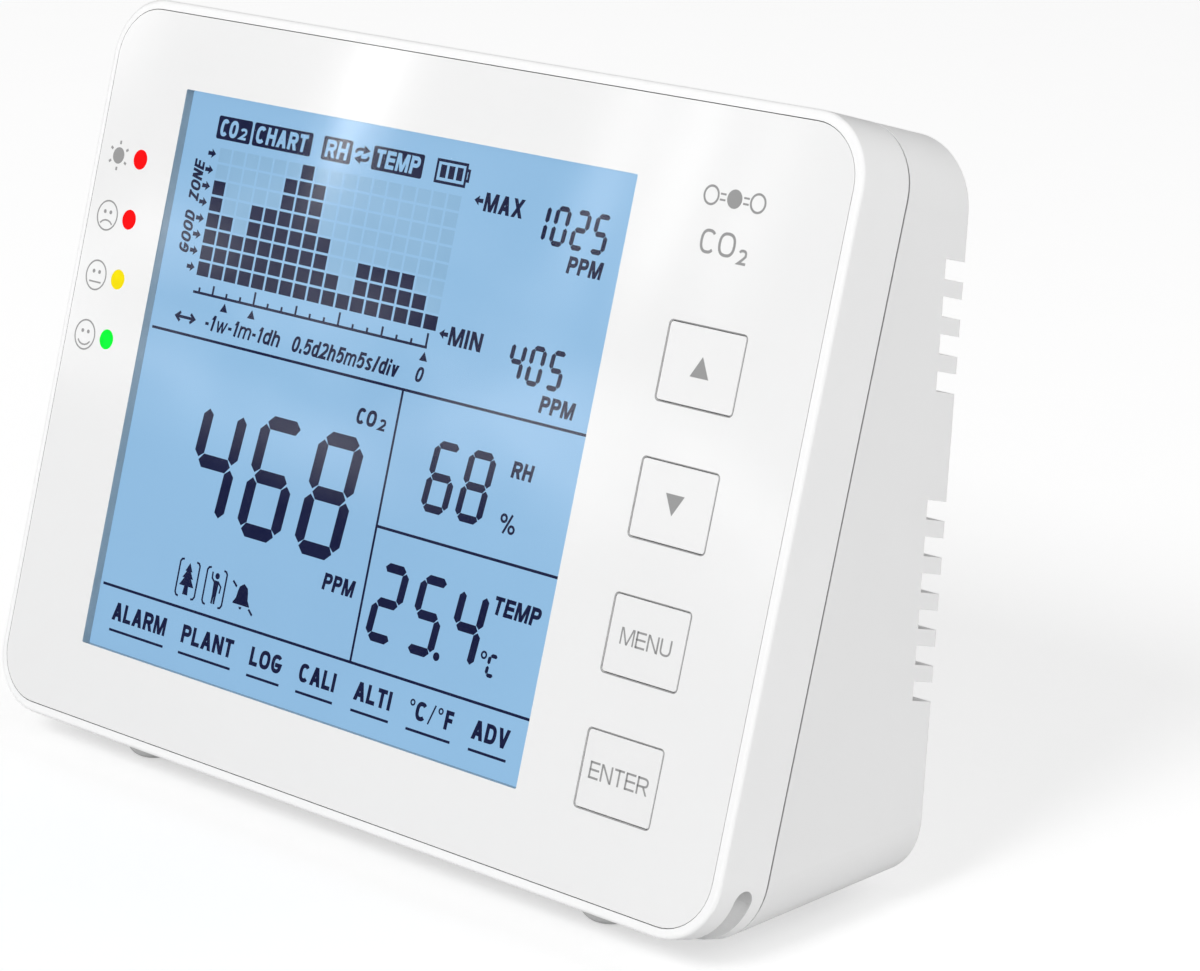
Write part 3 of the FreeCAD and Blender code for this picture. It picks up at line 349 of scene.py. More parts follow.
# Cell jackets: a dark wrap between two light ends.
WRAP_HALF, WRAP_BLUR = 0.0150, 0.0002
jacket = Shader("cell_wrap", Coat_Weight=0.5, Coat_Roughness=0.1)
cell_x = jacket.add("ShaderNodeSeparateXYZ")
jacket.link(jacket.place, "Object", cell_x, "Vector")
wrap = jacket.ramp(jacket.noise(90.0), "Fac",
                   [(0.3, (0.020, 0.045, 0.030)), (0.7, (0.026, 0.056, 0.038))])
light_end = jacket.ramp(jacket.noise(120.0), "Fac",
                        [(0.3, (0.70, 0.71, 0.70)), (0.7, (0.76, 0.77, 0.76))])
reach = jacket.add("ShaderNodeMath", operation="ABSOLUTE")
jacket.link(cell_x, "X", reach, 0)
outer = jacket.spread(reach, "Value", 0.0, 1.0, WRAP_HALF, WRAP_HALF + WRAP_BLUR)
skin = jacket.mix(outer, "Result", (wrap, "Color"), (light_end, "Color"))
jacket.link(skin, "Result", jacket.main, "Base Color")
jacket.link(jacket.spread(jacket.noise(300.0), "Fac", 0.25, 0.36), "Result", jacket.main, "Roughness")
jacket.bump(jacket.noise(1500.0), "Fac", 3e-6)
dress(jacket, "battery_cells")


# ------------------------------------------------------------------ plain lettering
# Each sign is (natural width, strokes). A stroke is a kind and its points, with x from 0 to 1
# across the sign and y from 0 to 1 up it; "line" strokes keep the pen inside that box, "leg"
# strokes are slanted with level ends, and "loop" strokes close on themselves. Crowded signs have
# a finer pen.
LETTER_GAP, SQUARENESS = 0.11, 2.5
FINER = {"w": 0.68, "m": 0.85, "M": 0.88, "V": 0.95}


def arc(cx, cy, rx, ry, start, end, steps=10):
    """Points along a squarish ellipse, in degrees from the right-hand side."""
    points = []
    for step in range(steps + 1):
        angle = math.radians(start + (end - start) * step / steps)
        c, s = math.cos(angle), math.sin(angle)
        points.append((cx + rx * math.copysign(abs(c) ** (2 / SQUARENESS), c),
                       cy + ry * math.copysign(abs(s) ** (2 / SQUARENESS), s)))
    return points


STEM_LEFT, STEM_RIGHT = ("line", [(0, 0), (0, 1)]), ("line", [(1, 0), (1, 1)])
BOWL = [(0, 0.47)] + arc(0.55, 0.735, 0.45, 0.265, -90, 90) + [(0, 1)]
ROUND = arc(0.5, 0.5, 0.5, 0.5, 0, 345, 23)
SMALL_ROUND = arc(0.5, 0.365, 0.5, 0.365, 0, 345, 23)
GLYPHS = {
    "A": (0.70, [("leg", [(0, 0), (0.5, 1)]), ("leg", [(1, 0), (0.5, 1)]),
                 ("line", [(0.2, 0.27), (0.8, 0.27)])]),
    "C": (0.66, [("line", arc(0.5, 0.5, 0.5, 0.5, 42, 318, 22))]),
    "D": (0.66, [("loop", [(0, 0)] + arc(0.45, 0.5, 0.55, 0.5, -90, 90, 14) + [(0, 1)])]),
    "E": (0.58, [STEM_LEFT] + [("line", [(0, y), (1, y)]) for y in (0, 0.52, 1)]),
    "F": (0.54, [STEM_LEFT] + [("line", [(0, y), (x, y)]) for x, y in ((0.9, 0.5), (1, 1))]),
    "G": (0.70, [("line", arc(0.5, 0.5, 0.5, 0.5, 42, 325, 22) + [(1, 0.42), (0.52, 0.42)])]),
    "H": (0.66, [STEM_LEFT, STEM_RIGHT, ("line", [(0, 0.52), (1, 0.52)])]),
    "I": (0.20, [("line", [(0.5, 0), (0.5, 1)])]),
    "L": (0.54, [("line", [(0, 1), (0, 0), (1, 0)])]),
    "M": (0.82, [STEM_LEFT, STEM_RIGHT, ("leg", [(0.5, 0), (0.06, 1)]),
                 ("leg", [(0.5, 0), (0.94, 1)])]),
    "N": (0.67, [STEM_LEFT, STEM_RIGHT, ("leg", [(0.98, 0), (0.02, 1)])]),
    "O": (0.72, [("loop", ROUND)]),
    "P": (0.62, [STEM_LEFT, ("line", BOWL)]),
    "R": (0.66, [STEM_LEFT, ("line", BOWL), ("leg", [(1, 0), (0.55, 0.5)])]),
    "T": (0.58, [("line", [(0, 1), (1, 1)]), ("line", [(0.5, 0), (0.5, 0.98)])]),
    "U": (0.66, [("line", [(0, 1)] + arc(0.5, 0.38, 0.5, 0.38, 180, 360, 14) + [(1, 1)])]),
    "V": (0.68, [("leg", [(0.5, 0), (0, 1)]), ("leg", [(0.5, 0), (1, 1)])]),
    "X": (0.70, [("leg", [(0, 0), (1, 1)]), ("leg", [(1, 0), (0, 1)])]),
    "Z": (0.58, [("line", [(0, 1), (1, 1)]), ("line", [(0, 0), (1, 0)]),
                 ("leg", [(0.02, 0), (0.98, 1)])]),
    "d": (0.52, [STEM_RIGHT, ("loop", SMALL_ROUND)]),
    "h": (0.52, [STEM_LEFT, ("line", [(0, 0.5)] + arc(0.52, 0.42, 0.48, 0.31, 140, 0, 8)
                             + [(1, 0)])]),
    "i": (0.18, [("line", [(0.5, 0), (0.5, 0.60)]), ("line", [(0.5, 0.97), (0.5, 1)])]),
    "m": (0.84, [("line", [(0, 0), (0, 0.73)]),
                 ("line", [(0, 0.5)] + arc(0.26, 0.45, 0.24, 0.28, 140, 0, 6) + [(0.5, 0)]),
                 ("line", [(0.5, 0.5)] + arc(0.76, 0.45, 0.24, 0.28, 140, 0, 6) + [(1, 0)])]),
    "s": (0.48, [("line", arc(0.5, 0.55, 0.48, 0.18, 25, 180, 8)
                  + arc(0.5, 0.18, 0.5, 0.18, 0, -155, 8))]),
    "v": (0.50, [("leg", [(0.5, 0), (0, 0.73)]), ("leg", [(0.5, 0), (1, 0.73)])]),
    "w": (0.76, [("leg", [(0.27, 0), (0, 0.73)]), ("leg", [(0.27, 0), (0.5, 0.73)]),
                 ("leg", [(0.73, 0), (0.5, 0.73)]), ("leg", [(0.73, 0), (1, 0.73)])]),
    "0": (0.54, [("loop", ROUND)]),
    "1": (0.34, [("line", [(0.72, 0), (0.72, 1)]), ("leg", [(0.1, 0.72), (0.7, 1)])]),
    "2": (0.54, [("line", arc(0.5, 0.7, 0.5, 0.3, 160, -20, 12) + [(0.62, 0.34), (0, 0), (1, 0)])]),
    "5": (0.54, [("line", [(0.95, 1), (0.14, 1), (0.06, 0.52)]
                  + arc(0.5, 0.33, 0.5, 0.33, 110, -150, 14))]),
    "-": (0.24, [("line", [(0, 0.38), (1, 0.38)])]),
    ".": (0.16, [("line", [(0.5, 0), (0.5, 0.12)])]),
    "/": (0.34, [("leg", [(0, 0), (1, 1)])]),
}


def draw_glyph(layer, sign, place, wide, tall, pen):
    """Draw one sign; place turns its own millimetres into face coordinates."""
    half = pen / 2
    for kind, points in GLYPHS[sign][1]:
        if kind == "leg":
            reach = min(pen * 1.12, wide)
            spots = [(x * (wide - reach), y * tall) for x, y in points]
            (x0, y0), (x1, y1) = sorted(spots, key=lambda spot: spot[1])
            layer.slab([place(x0, y0), place(x0 + reach, y0), place(x1 + reach, y1), place(x1, y1)])
            continue
        inner = [(half + x * max(wide - pen, 0.0), half + y * (tall - pen)) for x, y in points]
        if kind == "line":
            inner = [stretch_end(inner[0], inner[1], half)] + inner[1:-1] + [
                stretch_end(inner[-1], inner[-2], half)]
        layer.ribbon([place(x, y) for x, y in inner], pen, closed=kind == "loop")


def stretch_end(end, before, half):
    """Carry the end of an upright or level stroke on to the edge of its box."""
    dx, dy = end[0] - before[0], end[1] - before[1]
    if abs(dx) > 1e-9 and abs(dy) > 1e-9:
        return end
    return (end[0] + math.copysign(half, dx) * (abs(dx) > 1e-9),
            end[1] + math.copysign(half, dy) * (abs(dy) > 1e-9))


# ------------------------------------------------------------- flat printed figures
class Layer:
    """Thin closed slabs at one depth, gathered into one piece and nudged into place."""

    def __init__(self, front, back, nudge=(0.0, 0.0)):
        self.front, self.back = front, back
        self.nudge = Vector((*nudge, 0.0))
        self.points, self.faces = [], []

    def slab(self, outline):
        """Slab under a simple closed outline of (u, v) points."""
        base, count = len(self.points), len(outline)
        for depth in (self.front, self.back):
            self.points += [(u, v, depth) for u, v in outline]
        self.faces.append([base + k for k in range(count)])
        self.faces.append([base + count + k for k in reversed(range(count))])
        for k in range(count):
            after = (k + 1) % count
            self.faces.append([base + k, base + count + k, base + count + after, base + after])

    def rect(self, u0, v0, u1, v1):
        """Upright rectangle between two corners."""
        self.slab([(u0, v0), (u1, v0), (u1, v1), (u0, v1)])

    def round_rect(self, u0, v0, u1, v1, radius, steps=5):
        """Upright rectangle with round corners."""
        outline = []
        for cu, cv, turn in ((u1 - radius, v0 + radius, -90), (u1 - radius, v1 - radius, 0),
                             (u0 + radius, v1 - radius, 90), (u0 + radius, v0 + radius, 180)):
            for step in range(steps + 1):
                angle = math.radians(turn + 90 * step / steps)
                outline.append((cu + radius * math.cos(angle), cv + radius * math.sin(angle)))
        self.slab(outline)

    def disc(self, u, v, radius, count=40):
        """Round slab."""
        self.slab([(u + radius * math.cos(2 * math.pi * k / count),
                    v + radius * math.sin(2 * math.pi * k / count)) for k in range(count)])

    def ribbon(self, path, width, closed=False):
        """Line of even width along a path, with mitred bends."""
        half, left, right = width / 2, [], []
        count = len(path)
        for k in range(count):
            ways = []
            if closed or k > 0:
                ways.append(Vector(path[k]) - Vector(path[k - 1]))
            if closed or k < count - 1:
                ways.append(Vector(path[(k + 1) % count]) - Vector(path[k]))
            ways = [way.normalized() for way in ways]
            normals = [Vector((-way.y, way.x)) for way in ways]
            across = sum(normals, Vector((0, 0))).normalized()
            reach = half / max(0.35, across.dot(normals[0]))
            left.append(Vector(path[k]) + across * reach)
            right.append(Vector(path[k]) - across * reach)
        base = len(self.points)
        for k in range(count):
            for point in (right[k], left[k]):
                for depth in (self.front, self.back):
                    self.points.append((point.x, point.y, depth))
        links = count if closed else count - 1
        for k in range(links):
            a, b = base + 4 * k, base + 4 * ((k + 1) % count)
            self.faces += [[a, b, b + 2, a + 2], [a + 1, a + 3, b + 3, b + 1],
                           [a, a + 1, b + 1, b], [a + 2, b + 2, b + 3, a + 3]]
        if not closed:
            a, b = base, base + 4 * (count - 1)
            self.faces += [[a, a + 2, a + 3, a + 1], [b, b + 1, b + 3, b + 2]]

    def ring(self, u, v, radius, width, count=48):
        """Circle drawn as a line of even width."""
        self.ribbon([(u + radius * math.cos(2 * math.pi * k / count),
                      v + radius * math.sin(2 * math.pi * k / count)) for k in range(count)],
                    width, closed=True)

    def text(self, words, u0, v0, u1, v1, weight=0.2, slant=0.0, turned=False):
        """Words fitted to a box; turned words read upwards. Slant leans the letters."""
        tall = (u1 - u0) if turned else (v1 - v0)
        long = ((v1 - v0) if turned else (u1 - u0)) - slant * tall
        natural = sum(GLYPHS[sign][0] for sign in words) + LETTER_GAP * (len(words) - 1)
        squeeze, pen = long / natural, 0.0

        def to_face(x, y):
            x += slant * y
            return (u1 - y, v0 + x) if turned else (u0 + x, v0 + y)

        for sign in words:
            wide = GLYPHS[sign][0] * squeeze
            draw_glyph(self, sign, lambda x, y: to_face(pen + x, y), wide, tall,
                       weight * tall * FINER.get(sign, 1.0))
            pen += wide + LETTER_GAP * squeeze

    def piece(self, name, shader, body):
        """Finish the layer as one named piece that rides on a body."""
        data = bpy.data.meshes.new(name)
        data.from_pydata([FACE @ (Vector(point) + self.nudge) for point in self.points], [],
                         self.faces)
        work = bmesh.new()
        work.from_mesh(data)
        bmesh.ops.remove_doubles(work, verts=work.verts, dist=2e-7)
        bmesh.ops.dissolve_degenerate(work, edges=work.edges, dist=1e-8)
        bmesh.ops.triangulate(work, faces=[f for f in work.faces if len(f.verts) > 4])
        bmesh.ops.recalc_face_normals(work, faces=work.faces)
        work.to_mesh(data)
        work.free()
        data.materials.append(shader.material)
        item = bpy.data.objects.new(name, data)
        bpy.context.scene.collection.objects.link(item)
        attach(item, body)


SEGMENTS = {"0": "abcdef", "1": "bc", "2": "abged", "4": "fgbc", "5": "afgcd",
            "6": "afgedc", "8": "abcdefg", "C": "adef"}
FIGURE_SLANT = 0.088


def bar(start, end, half, cuts):
    """Segment outline from tip to tip; both ends are cut back by (outer, inner) amounts."""
    start, end = Vector(start), Vector(end)
    way = (end - start).normalized()
    side = Vector((-way.y, way.x)) * half
    outer, inner = cuts
    return [start, start + way * inner - side, end - way * inner - side,
            end, end - way * outer + side, start + way * outer + side]


def figure(layer, sign, left, low, wide, tall, thick):
    """One seven-segment figure whose lower left corner is at (left, low)."""
    half = thick / 2
    x0, x1 = half, wide - half
    y0, y1, y2 = half, tall / 2, tall - half
    across, along = 0.10 * thick, 0.19 * thick
    wide_cut, short_cut = 1.1 * half, 0.72 * half
    places = {
        "a": bar((x0 + across, y2), (x1 - across, y2), half, (wide_cut, short_cut)),
        "g": bar((x0 + across, y1), (x1 - across, y1), half, (0.85 * half, 0.85 * half)),
        "d": bar((x1 - across, y0), (x0 + across, y0), half, (wide_cut, short_cut)),
        "f": bar((x0, y1 + along), (x0, y2 - along), half, (wide_cut * 0.8, short_cut)),
        "e": bar((x0, y0 + along), (x0, y1 - along), half, (wide_cut * 0.8, short_cut)),
        "b": bar((x1, y2 - along), (x1, y1 + along), half, (wide_cut * 0.8, short_cut)),
        "c": bar((x1, y1 - along), (x1, y0 + along), half, (wide_cut * 0.8, short_cut)),
    }
    for letter in SEGMENTS[sign]:
        layer.slab([(left + p.x + FIGURE_SLANT * p.y, low + p.y) for p in places[letter]])


# The content of the display lies between its glass and the clear pane. NUDGE moves all of it a
# little to the right and up.
INK_FRONT, INK_BACK = 1.170, 1.192
LETTER_FRONT, LETTER_BACK = 1.152, 1.169
IDLE_FRONT, IDLE_BACK = 1.180, 1.194
NUDGE = (0.2, 0.02)
BOLD, SMALL = 0.225, 0.19


def ink_layer():
    """A layer for the dark figures of the display."""
    return Layer(INK_FRONT, INK_BACK, NUDGE)


# Chart: filled cells over idle ones.
chart = ink_layer()
faint = Layer(IDLE_FRONT, IDLE_BACK, NUDGE)
CELL_W, CELL_H = 2.07, 1.70
STEP_U, STEP_V = 2.45, 2.00
CHART_U, CHART_V = -38.93, 57.77
ROWS = 8
COLUMNS = [6, 4, 3, 5, 5, 7, 8, 7, 4, 2, 1, 3, 3, 3, 3, 2, 1]
for column, filled in enumerate(COLUMNS):
    for row in range(ROWS):
        u, v = CHART_U + STEP_U * column, CHART_V + STEP_V * row
        (chart if row < filled else faint).rect(u, v, u + CELL_W, v + CELL_H)
chart.piece("display_chart_cells", navy, "case")
faint.piece("display_idle_cells", ghost, "case")

# Scale below the chart, and arrows on its left.
SCALE_LOW, SCALE_HIGH, TICK_U, TICK_HALF = 55.56, 55.88, -37.9, 0.16
scale = ink_layer()
scale.rect(CHART_U, SCALE_LOW, 1.50, SCALE_HIGH)
for tick in range(len(COLUMNS)):
    u = TICK_U + STEP_U * tick
    tall = 1.5 if tick in (4, 10, 16) else 1.05 if tick in (1, 7, 13) else 0.5
    scale.rect(u - TICK_HALF, SCALE_HIGH - 0.08, u + TICK_HALF, SCALE_HIGH - 0.02 + tall)
for tick in (2, 4, 16):
    u = TICK_U + STEP_U * tick
    scale.slab([(u - 0.66, 54.1), (u + 0.66, 54.1), (u, 55.17)])
SPAN_V, SPAN_PEN = 52.4, 0.36
scale.ribbon([(-40.8, SPAN_V), (-38.1, SPAN_V)], SPAN_PEN)
for tip, way in ((-41.2, 1), (-37.7, -1)):
    scale.ribbon([(tip + way * 0.85, SPAN_V + 0.55), (tip + way * 0.1, SPAN_V),
                  (tip + way * 0.85, SPAN_V - 0.55)], SPAN_PEN)
scale.text("-1w-1m-1dh", -35.9, 51.55, -22.27, 53.45, SMALL, 0.2)
scale.text("0.5d2h5m5s/div", -20.4, 51.5, -2.07, 53.45, SMALL, 0.2)
scale.text("0", 0.45, 51.6, 1.95, 53.4, SMALL, 0.2)
for word, v0, v1 in (("GOOD", 60.0, 65.45), ("ZONE", 66.5, 71.67)):
    scale.text(word, -42.93, v0, -41.17, v1, 0.2, 0.2, turned=True)


def short_arrow(layer, u, v, way):
    """Stubby arrow with its tip at (u, v); way is 1 to the right and -1 to the left."""
    outline = [(0, 0), (-0.78, 0.58), (-0.72, 0.22), (-1.40, 0.26), (-1.40, -0.26),
               (-0.72, -0.22), (-0.78, -0.58)]
    layer.slab([(u + way * x, v + y) for x, y in outline])


for row in range(ROWS):
    short_arrow(scale, -39.5, 58.6 + STEP_V * row, 1)
scale.piece("display_chart_scale", navy, "case")

# Headings: dark boxes with lit letters, the swap arrows and the battery sign.
heads = ink_layer()
lit = Layer(LETTER_FRONT, LETTER_BACK, NUDGE)
HEAD_LOW, HEAD_HIGH = 74.50, 77.33
WORD_LOW, WORD_HIGH = 74.88, 77.0
for u0, u1 in ((-40.1, -34.1), (-33.67, -23.43), (-21.53, -16.6), (-13.0, -4.6)):
    heads.round_rect(u0, HEAD_LOW, u1, HEAD_HIGH, 0.28)
for word, u0, u1, v1 in (("CO", -39.6, -36.35, WORD_HIGH), ("2", -36.05, -34.75, WORD_HIGH - 0.7),
                         ("CHART", -33.2, -24.1, WORD_HIGH), ("RH", -21.0, -17.1, WORD_HIGH),
                         ("TEMP", -12.5, -5.05, WORD_HIGH)):
    lit.text(word, u0, WORD_LOW, u1, v1, BOLD, 0.08)
lit.piece("display_heading_letters", label_glow, "case")
SWAP_U, SWAP_V, SWAP_PEN = -14.75, 75.95, 0.36
SWAP_TAIL = [(-1.15, 0.12), (-1.0, 0.45), (-0.6, 0.62), (0.2, 0.62)]
SWAP_TIP = [(1.25, 0.55), (0.15, 1.12), (0.15, 0.08)]
for way in (1, -1):
    heads.ribbon([(SWAP_U + way * x, SWAP_V + way * y) for x, y in SWAP_TAIL], SWAP_PEN)
    heads.slab([(SWAP_U + way * x, SWAP_V + way * y) for x, y in SWAP_TIP])
BATTERY_PEN = 0.34
heads.ribbon([(-2.37, 74.63), (2.37, 74.63), (2.37, 77.13), (-2.37, 77.13)], BATTERY_PEN,
             closed=True)
heads.ribbon([(2.45, 76.5), (2.84, 76.5), (2.84, 75.3), (2.45, 75.3)], BATTERY_PEN)
for u in (-1.75, -0.42, 0.91):
    heads.rect(u, 75.15, u + 0.92, 76.65)
heads.piece("display_headings", navy, "case")

# Dividing lines and the row of labels below.
lines = ink_layer()
LEFT_EDGE, MIDDLE_U, RIGHT_EDGE = -45.0, -0.9, 29.0
LOW_LINE, MIDDLE_LINE, HIGH_LINE, LINE_HALF = 18.13, 34.27, 50.37, 0.165
for u0, v in ((LEFT_EDGE, HIGH_LINE), (MIDDLE_U, MIDDLE_LINE), (LEFT_EDGE, LOW_LINE)):
    lines.rect(u0, v - LINE_HALF, RIGHT_EDGE, v + LINE_HALF)
lines.rect(MIDDLE_U - LINE_HALF, LOW_LINE, MIDDLE_U + LINE_HALF, HIGH_LINE)
LABEL_LOW, LABEL_HIGH = 14.1, 16.33
RULE_LOW, RULE_HIGH = 12.68, 12.99
for words, u0, u1 in (("ALARM", -42.4, -32.43), ("PLANT", -29.6, -20.27), ("LOG", -17.33, -11.67),
                      ("CALI", -8.77, -2.5), ("ALTI", 0.6, 6.83), ("ADV", 19.77, 25.67)):
    lines.text(words, u0 + 0.06, LABEL_LOW, u1 - 0.06, LABEL_HIGH, BOLD, 0.03)
    lines.rect(u0, RULE_LOW, u1, RULE_HIGH)
lines.text("C", 10.75, LABEL_LOW, 12.55, LABEL_HIGH, BOLD, 0.03)
lines.ribbon([(12.95, LABEL_LOW - 0.05), (13.75, LABEL_HIGH + 0.07)], 0.22)
lines.text("F", 15.45, LABEL_LOW, 16.75, LABEL_HIGH, BOLD, 0.03)
for u in (10.1, 14.65):
    lines.ring(u, 15.95, 0.30, 0.2, 24)
lines.rect(9.73, RULE_LOW, 16.83, RULE_HIGH)
lines.piece("display_lines_and_labels", navy, "case")

# Readings: signs, their left edges, low edge, width, height and segment width.
reading = ink_layer()
for word, lefts, *sizes in (
        ("468", (-34.07, -24.0, -13.93), 28.67, 7.63, 14.9, 1.67),
        ("68", (5.17, 10.67), 37.43, 4.30, 8.37, 0.93),
        ("254", (0.4, 6.97, 13.3), 21.27, 4.67, 9.33, 1.08),
        ("C", (19.95,), 21.27, 1.6, 2.72, 0.46),
        ("1025", (13.75, 16.80, 19.85, 22.90), 70.07, 2.35, 4.60, 0.60),
        ("405", (14.20, 17.23, 20.35), 54.23, 2.35, 4.60, 0.60)):
    for sign, left in zip(word, lefts):
        figure(reading, sign, left, *sizes)
reading.text("CO", -7.54, 45.2, -4.1, 47.15, 0.22, 0.12)
reading.text("2", -3.75, 45.05, -2.5, 46.45, 0.22, 0.12)
reading.text("PPM", -7.77, 25.35, -2.4, 27.35, BOLD, 0.12)
reading.text("RH", 18.08, 43.73, 21.46, 45.65, BOLD, 0.12)
reading.ribbon([(18.55, 37.43), (19.6, 39.67)], 0.30)
for u, v in ((18.38, 39.1), (19.75, 38.0)):
    reading.ring(u, v, 0.40, 0.30, 24)
reading.disc(12.27, 21.77, 0.5, 28)
reading.text("TEMP", 19.33, 28.33, 26.77, 30.43, BOLD, 0.12)
reading.ring(19.4, 23.6, 0.36, 0.24, 24)
for v in (67.43, 51.57):
    reading.text("PPM", 20.27, v, 25.67, v + 1.95, BOLD, 0.12)
reading.text("MAX", 6.0, 72.33, 12.27, 74.5, BOLD, 0.06)
reading.text("MIN", 4.6, 56.57, 9.93, 58.73, BOLD, 0.06)
short_arrow(reading, 4.4, 73.43, -1)
short_arrow(reading, 3.0, 57.67, -1)
reading.piece("display_readings", navy, "case")

# Small signs: plant, person and muted bell.
signs = ink_layer()


def bracket(layer, u, way):
    """Tall bracket round a sign; way is 1 on its left and -1 on its right."""
    layer.ribbon([(u + way * 0.62, 23.98), (u + way * 0.22, 23.9), (u, 23.6),
                  (u, 19.85), (u + way * 0.22, 19.5), (u + way * 0.62, 19.42)], 0.25)


for left, right in ((-32.1, -28.6), (-27.2, -23.7)):
    bracket(signs, left, 1)
    bracket(signs, right, -1)


def even_slab(layer, middle, half):
    """Slab that is the same on both sides of a middle line; half starts on that line."""
    layer.slab([(middle - x, y) for x, y in half] + [(middle + x, y) for x, y in half[:0:-1]])


even_slab(signs, -30.35, [(0.0, 23.67), (0.62, 22.62), (0.36, 22.62), (0.95, 21.78), (0.6, 21.78),
                          (1.30, 20.80), (0.34, 20.80), (0.46, 19.75)])
signs.disc(-25.3, 23.12, 0.38, 24)
signs.slab([(-25.78, 22.55), (-24.86, 22.55), (-24.95, 20.9), (-25.0, 19.72), (-25.27, 19.72),
            (-25.33, 20.9), (-25.40, 19.72), (-25.68, 19.72), (-25.66, 20.9)])
signs.ribbon([(-25.68, 22.35), (-26.15, 22.75), (-26.2, 23.5)], 0.24)
signs.ribbon([(-24.96, 22.42), (-24.42, 21.95), (-24.5, 21.15)], 0.22)
even_slab(signs, -20.5, [(0.0, 23.18), (0.28, 23.02), (0.70, 22.75), (0.88, 22.2), (1.02, 21.35),
                         (1.45, 20.75), (1.45, 20.6)])
signs.slab([(-20.8, 20.38), (-20.65, 20.1), (-20.4, 20.1), (-20.25, 20.38)])
signs.ribbon([(-22.5, 23.2), (-21.72, 22.62)], 0.28)
signs.ribbon([(-19.05, 20.4), (-18.3, 19.8)], 0.28)
signs.piece("display_signs", navy, "case")

# ------------------------------------------------------------ printing on the panel
PRINT_FRONT, PRINT_BACK = -0.012, 0.02
marks = Layer(PRINT_FRONT, PRINT_BACK)
SIGN_U, SUN_V, LAMP_LOW, LAMP_STEP = -55.4, 70.06, 47.5, 7.533
marks.disc(SIGN_U, SUN_V, 1.03, 36)
centre = Vector((SIGN_U, SUN_V))
for turn in range(30, 390, 60):
    way = Vector((math.cos(math.radians(turn)), math.sin(math.radians(turn))))
    marks.ribbon([centre + way * 1.42, centre + way * 1.86], 0.32)
MOUTHS = [
    [(-1.12, -0.72), (-0.72, -1.08), (-0.25, -1.24), (0.25, -1.24), (0.72, -1.08), (1.12, -0.72)],
    [(-1.1, -0.85), (0.0, -0.85), (1.1, -0.85)],
    [(-1.1, -1.05), (-0.7, -0.74), (-0.25, -0.6), (0.25, -0.6), (0.7, -0.74), (1.1, -1.05)],
]
for place, mouth in enumerate(MOUTHS):
    v = LAMP_LOW - 0.06 + LAMP_STEP * place
    marks.ring(SIGN_U, v, 1.83, 0.2, 56)
    for side in (-1, 1):
        marks.disc(SIGN_U + side * 0.53, v + 0.45, 0.25, 20)
    marks.ribbon([(SIGN_U + x, v + y) for x, y in mouth], 0.2)
# Plain maker-neutral mark: the shape of the gas molecule over its formula.
KEY_U, KEY_LOW, KEY_STEP = 43.4, 15.27, 15.1
MARK_U, MARK_V, THIN = KEY_U, 79.0, 0.125
marks.disc(MARK_U, MARK_V, 1.05, 32)
for side in (-1, 1):
    marks.ring(MARK_U + side * 3.3, MARK_V, 1.0, 0.26, 40)
    for rise in (-0.32, 0.32):
        marks.ribbon([(MARK_U + side * 1.25, MARK_V + rise), (MARK_U + side * 2.05, MARK_V + rise)],
                     0.22)
marks.text("CO", MARK_U - 3.6, 72.7, MARK_U + 1.4, 75.4, THIN)
marks.text("2", MARK_U + 2.0, 72.2, MARK_U + 3.2, 73.9, THIN * 1.4)

# Outlines round the keys, and a sign on each key.
FRAME_WIDE, FRAME_TALL, FRAME_ROUND, FRAME_LINE = 11.16, 8.97, 0.55, 0.10
for place in range(4):
    v = KEY_LOW + KEY_STEP * place
    frame_path = []
    for cu, cv, turn in ((1, -1, -90), (1, 1, 0), (-1, 1, 90), (-1, -1, 180)):
        for step in range(6):
            angle = math.radians(turn + 18 * step)
            frame_path.append((
                KEY_U + cu * (FRAME_WIDE / 2 - FRAME_ROUND) + FRAME_ROUND * math.cos(angle),
                v + cv * (FRAME_TALL / 2 - FRAME_ROUND) + FRAME_ROUND * math.sin(angle)))
    marks.ribbon(frame_path, FRAME_LINE, closed=True)
marks.piece("panel_printing", ink, "case")

for place, (label, body) in enumerate((("enter", "key_enter_button"), ("menu", "key_menu_button"),
                                       ("down", "key_down_button"), ("up", "key_up_button"))):
    sign = Layer(PRINT_FRONT, PRINT_BACK)
    v = KEY_LOW + KEY_STEP * place
    if label == "enter":
        sign.text("ENTER", KEY_U - 4.3, v - 0.98, KEY_U + 4.3, v + 0.95, THIN)
    elif label == "menu":
        sign.text("MENU", KEY_U - 3.68, v - 0.95, KEY_U + 3.68, v + 0.92, THIN)
    else:
        way = 1 if label == "up" else -1
        sign.slab([(KEY_U - way * 1.34, v - way * 1.15), (KEY_U + way * 1.34, v - way * 1.15),
                   (KEY_U, v + way * 1.2)])
    sign.piece("key_sign_" + label, ink, body)

# -------------------------------------------------------------------- floor and light
def square_sheet(name, half, shader):
    """Flat square, facing up, that is part of the studio and not of the object."""
    data = bpy.data.meshes.new(name)
    data.from_pydata([(-half, -half, 0), (half, -half, 0), (half, half, 0), (-half, half, 0)],
                     [], [(0, 1, 2, 3)])
    data.materials.append(shader.material)
    sheet = bpy.data.objects.new(name, data)
    bpy.context.scene.collection.objects.link(sheet)
    sheet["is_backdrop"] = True
    return sheet


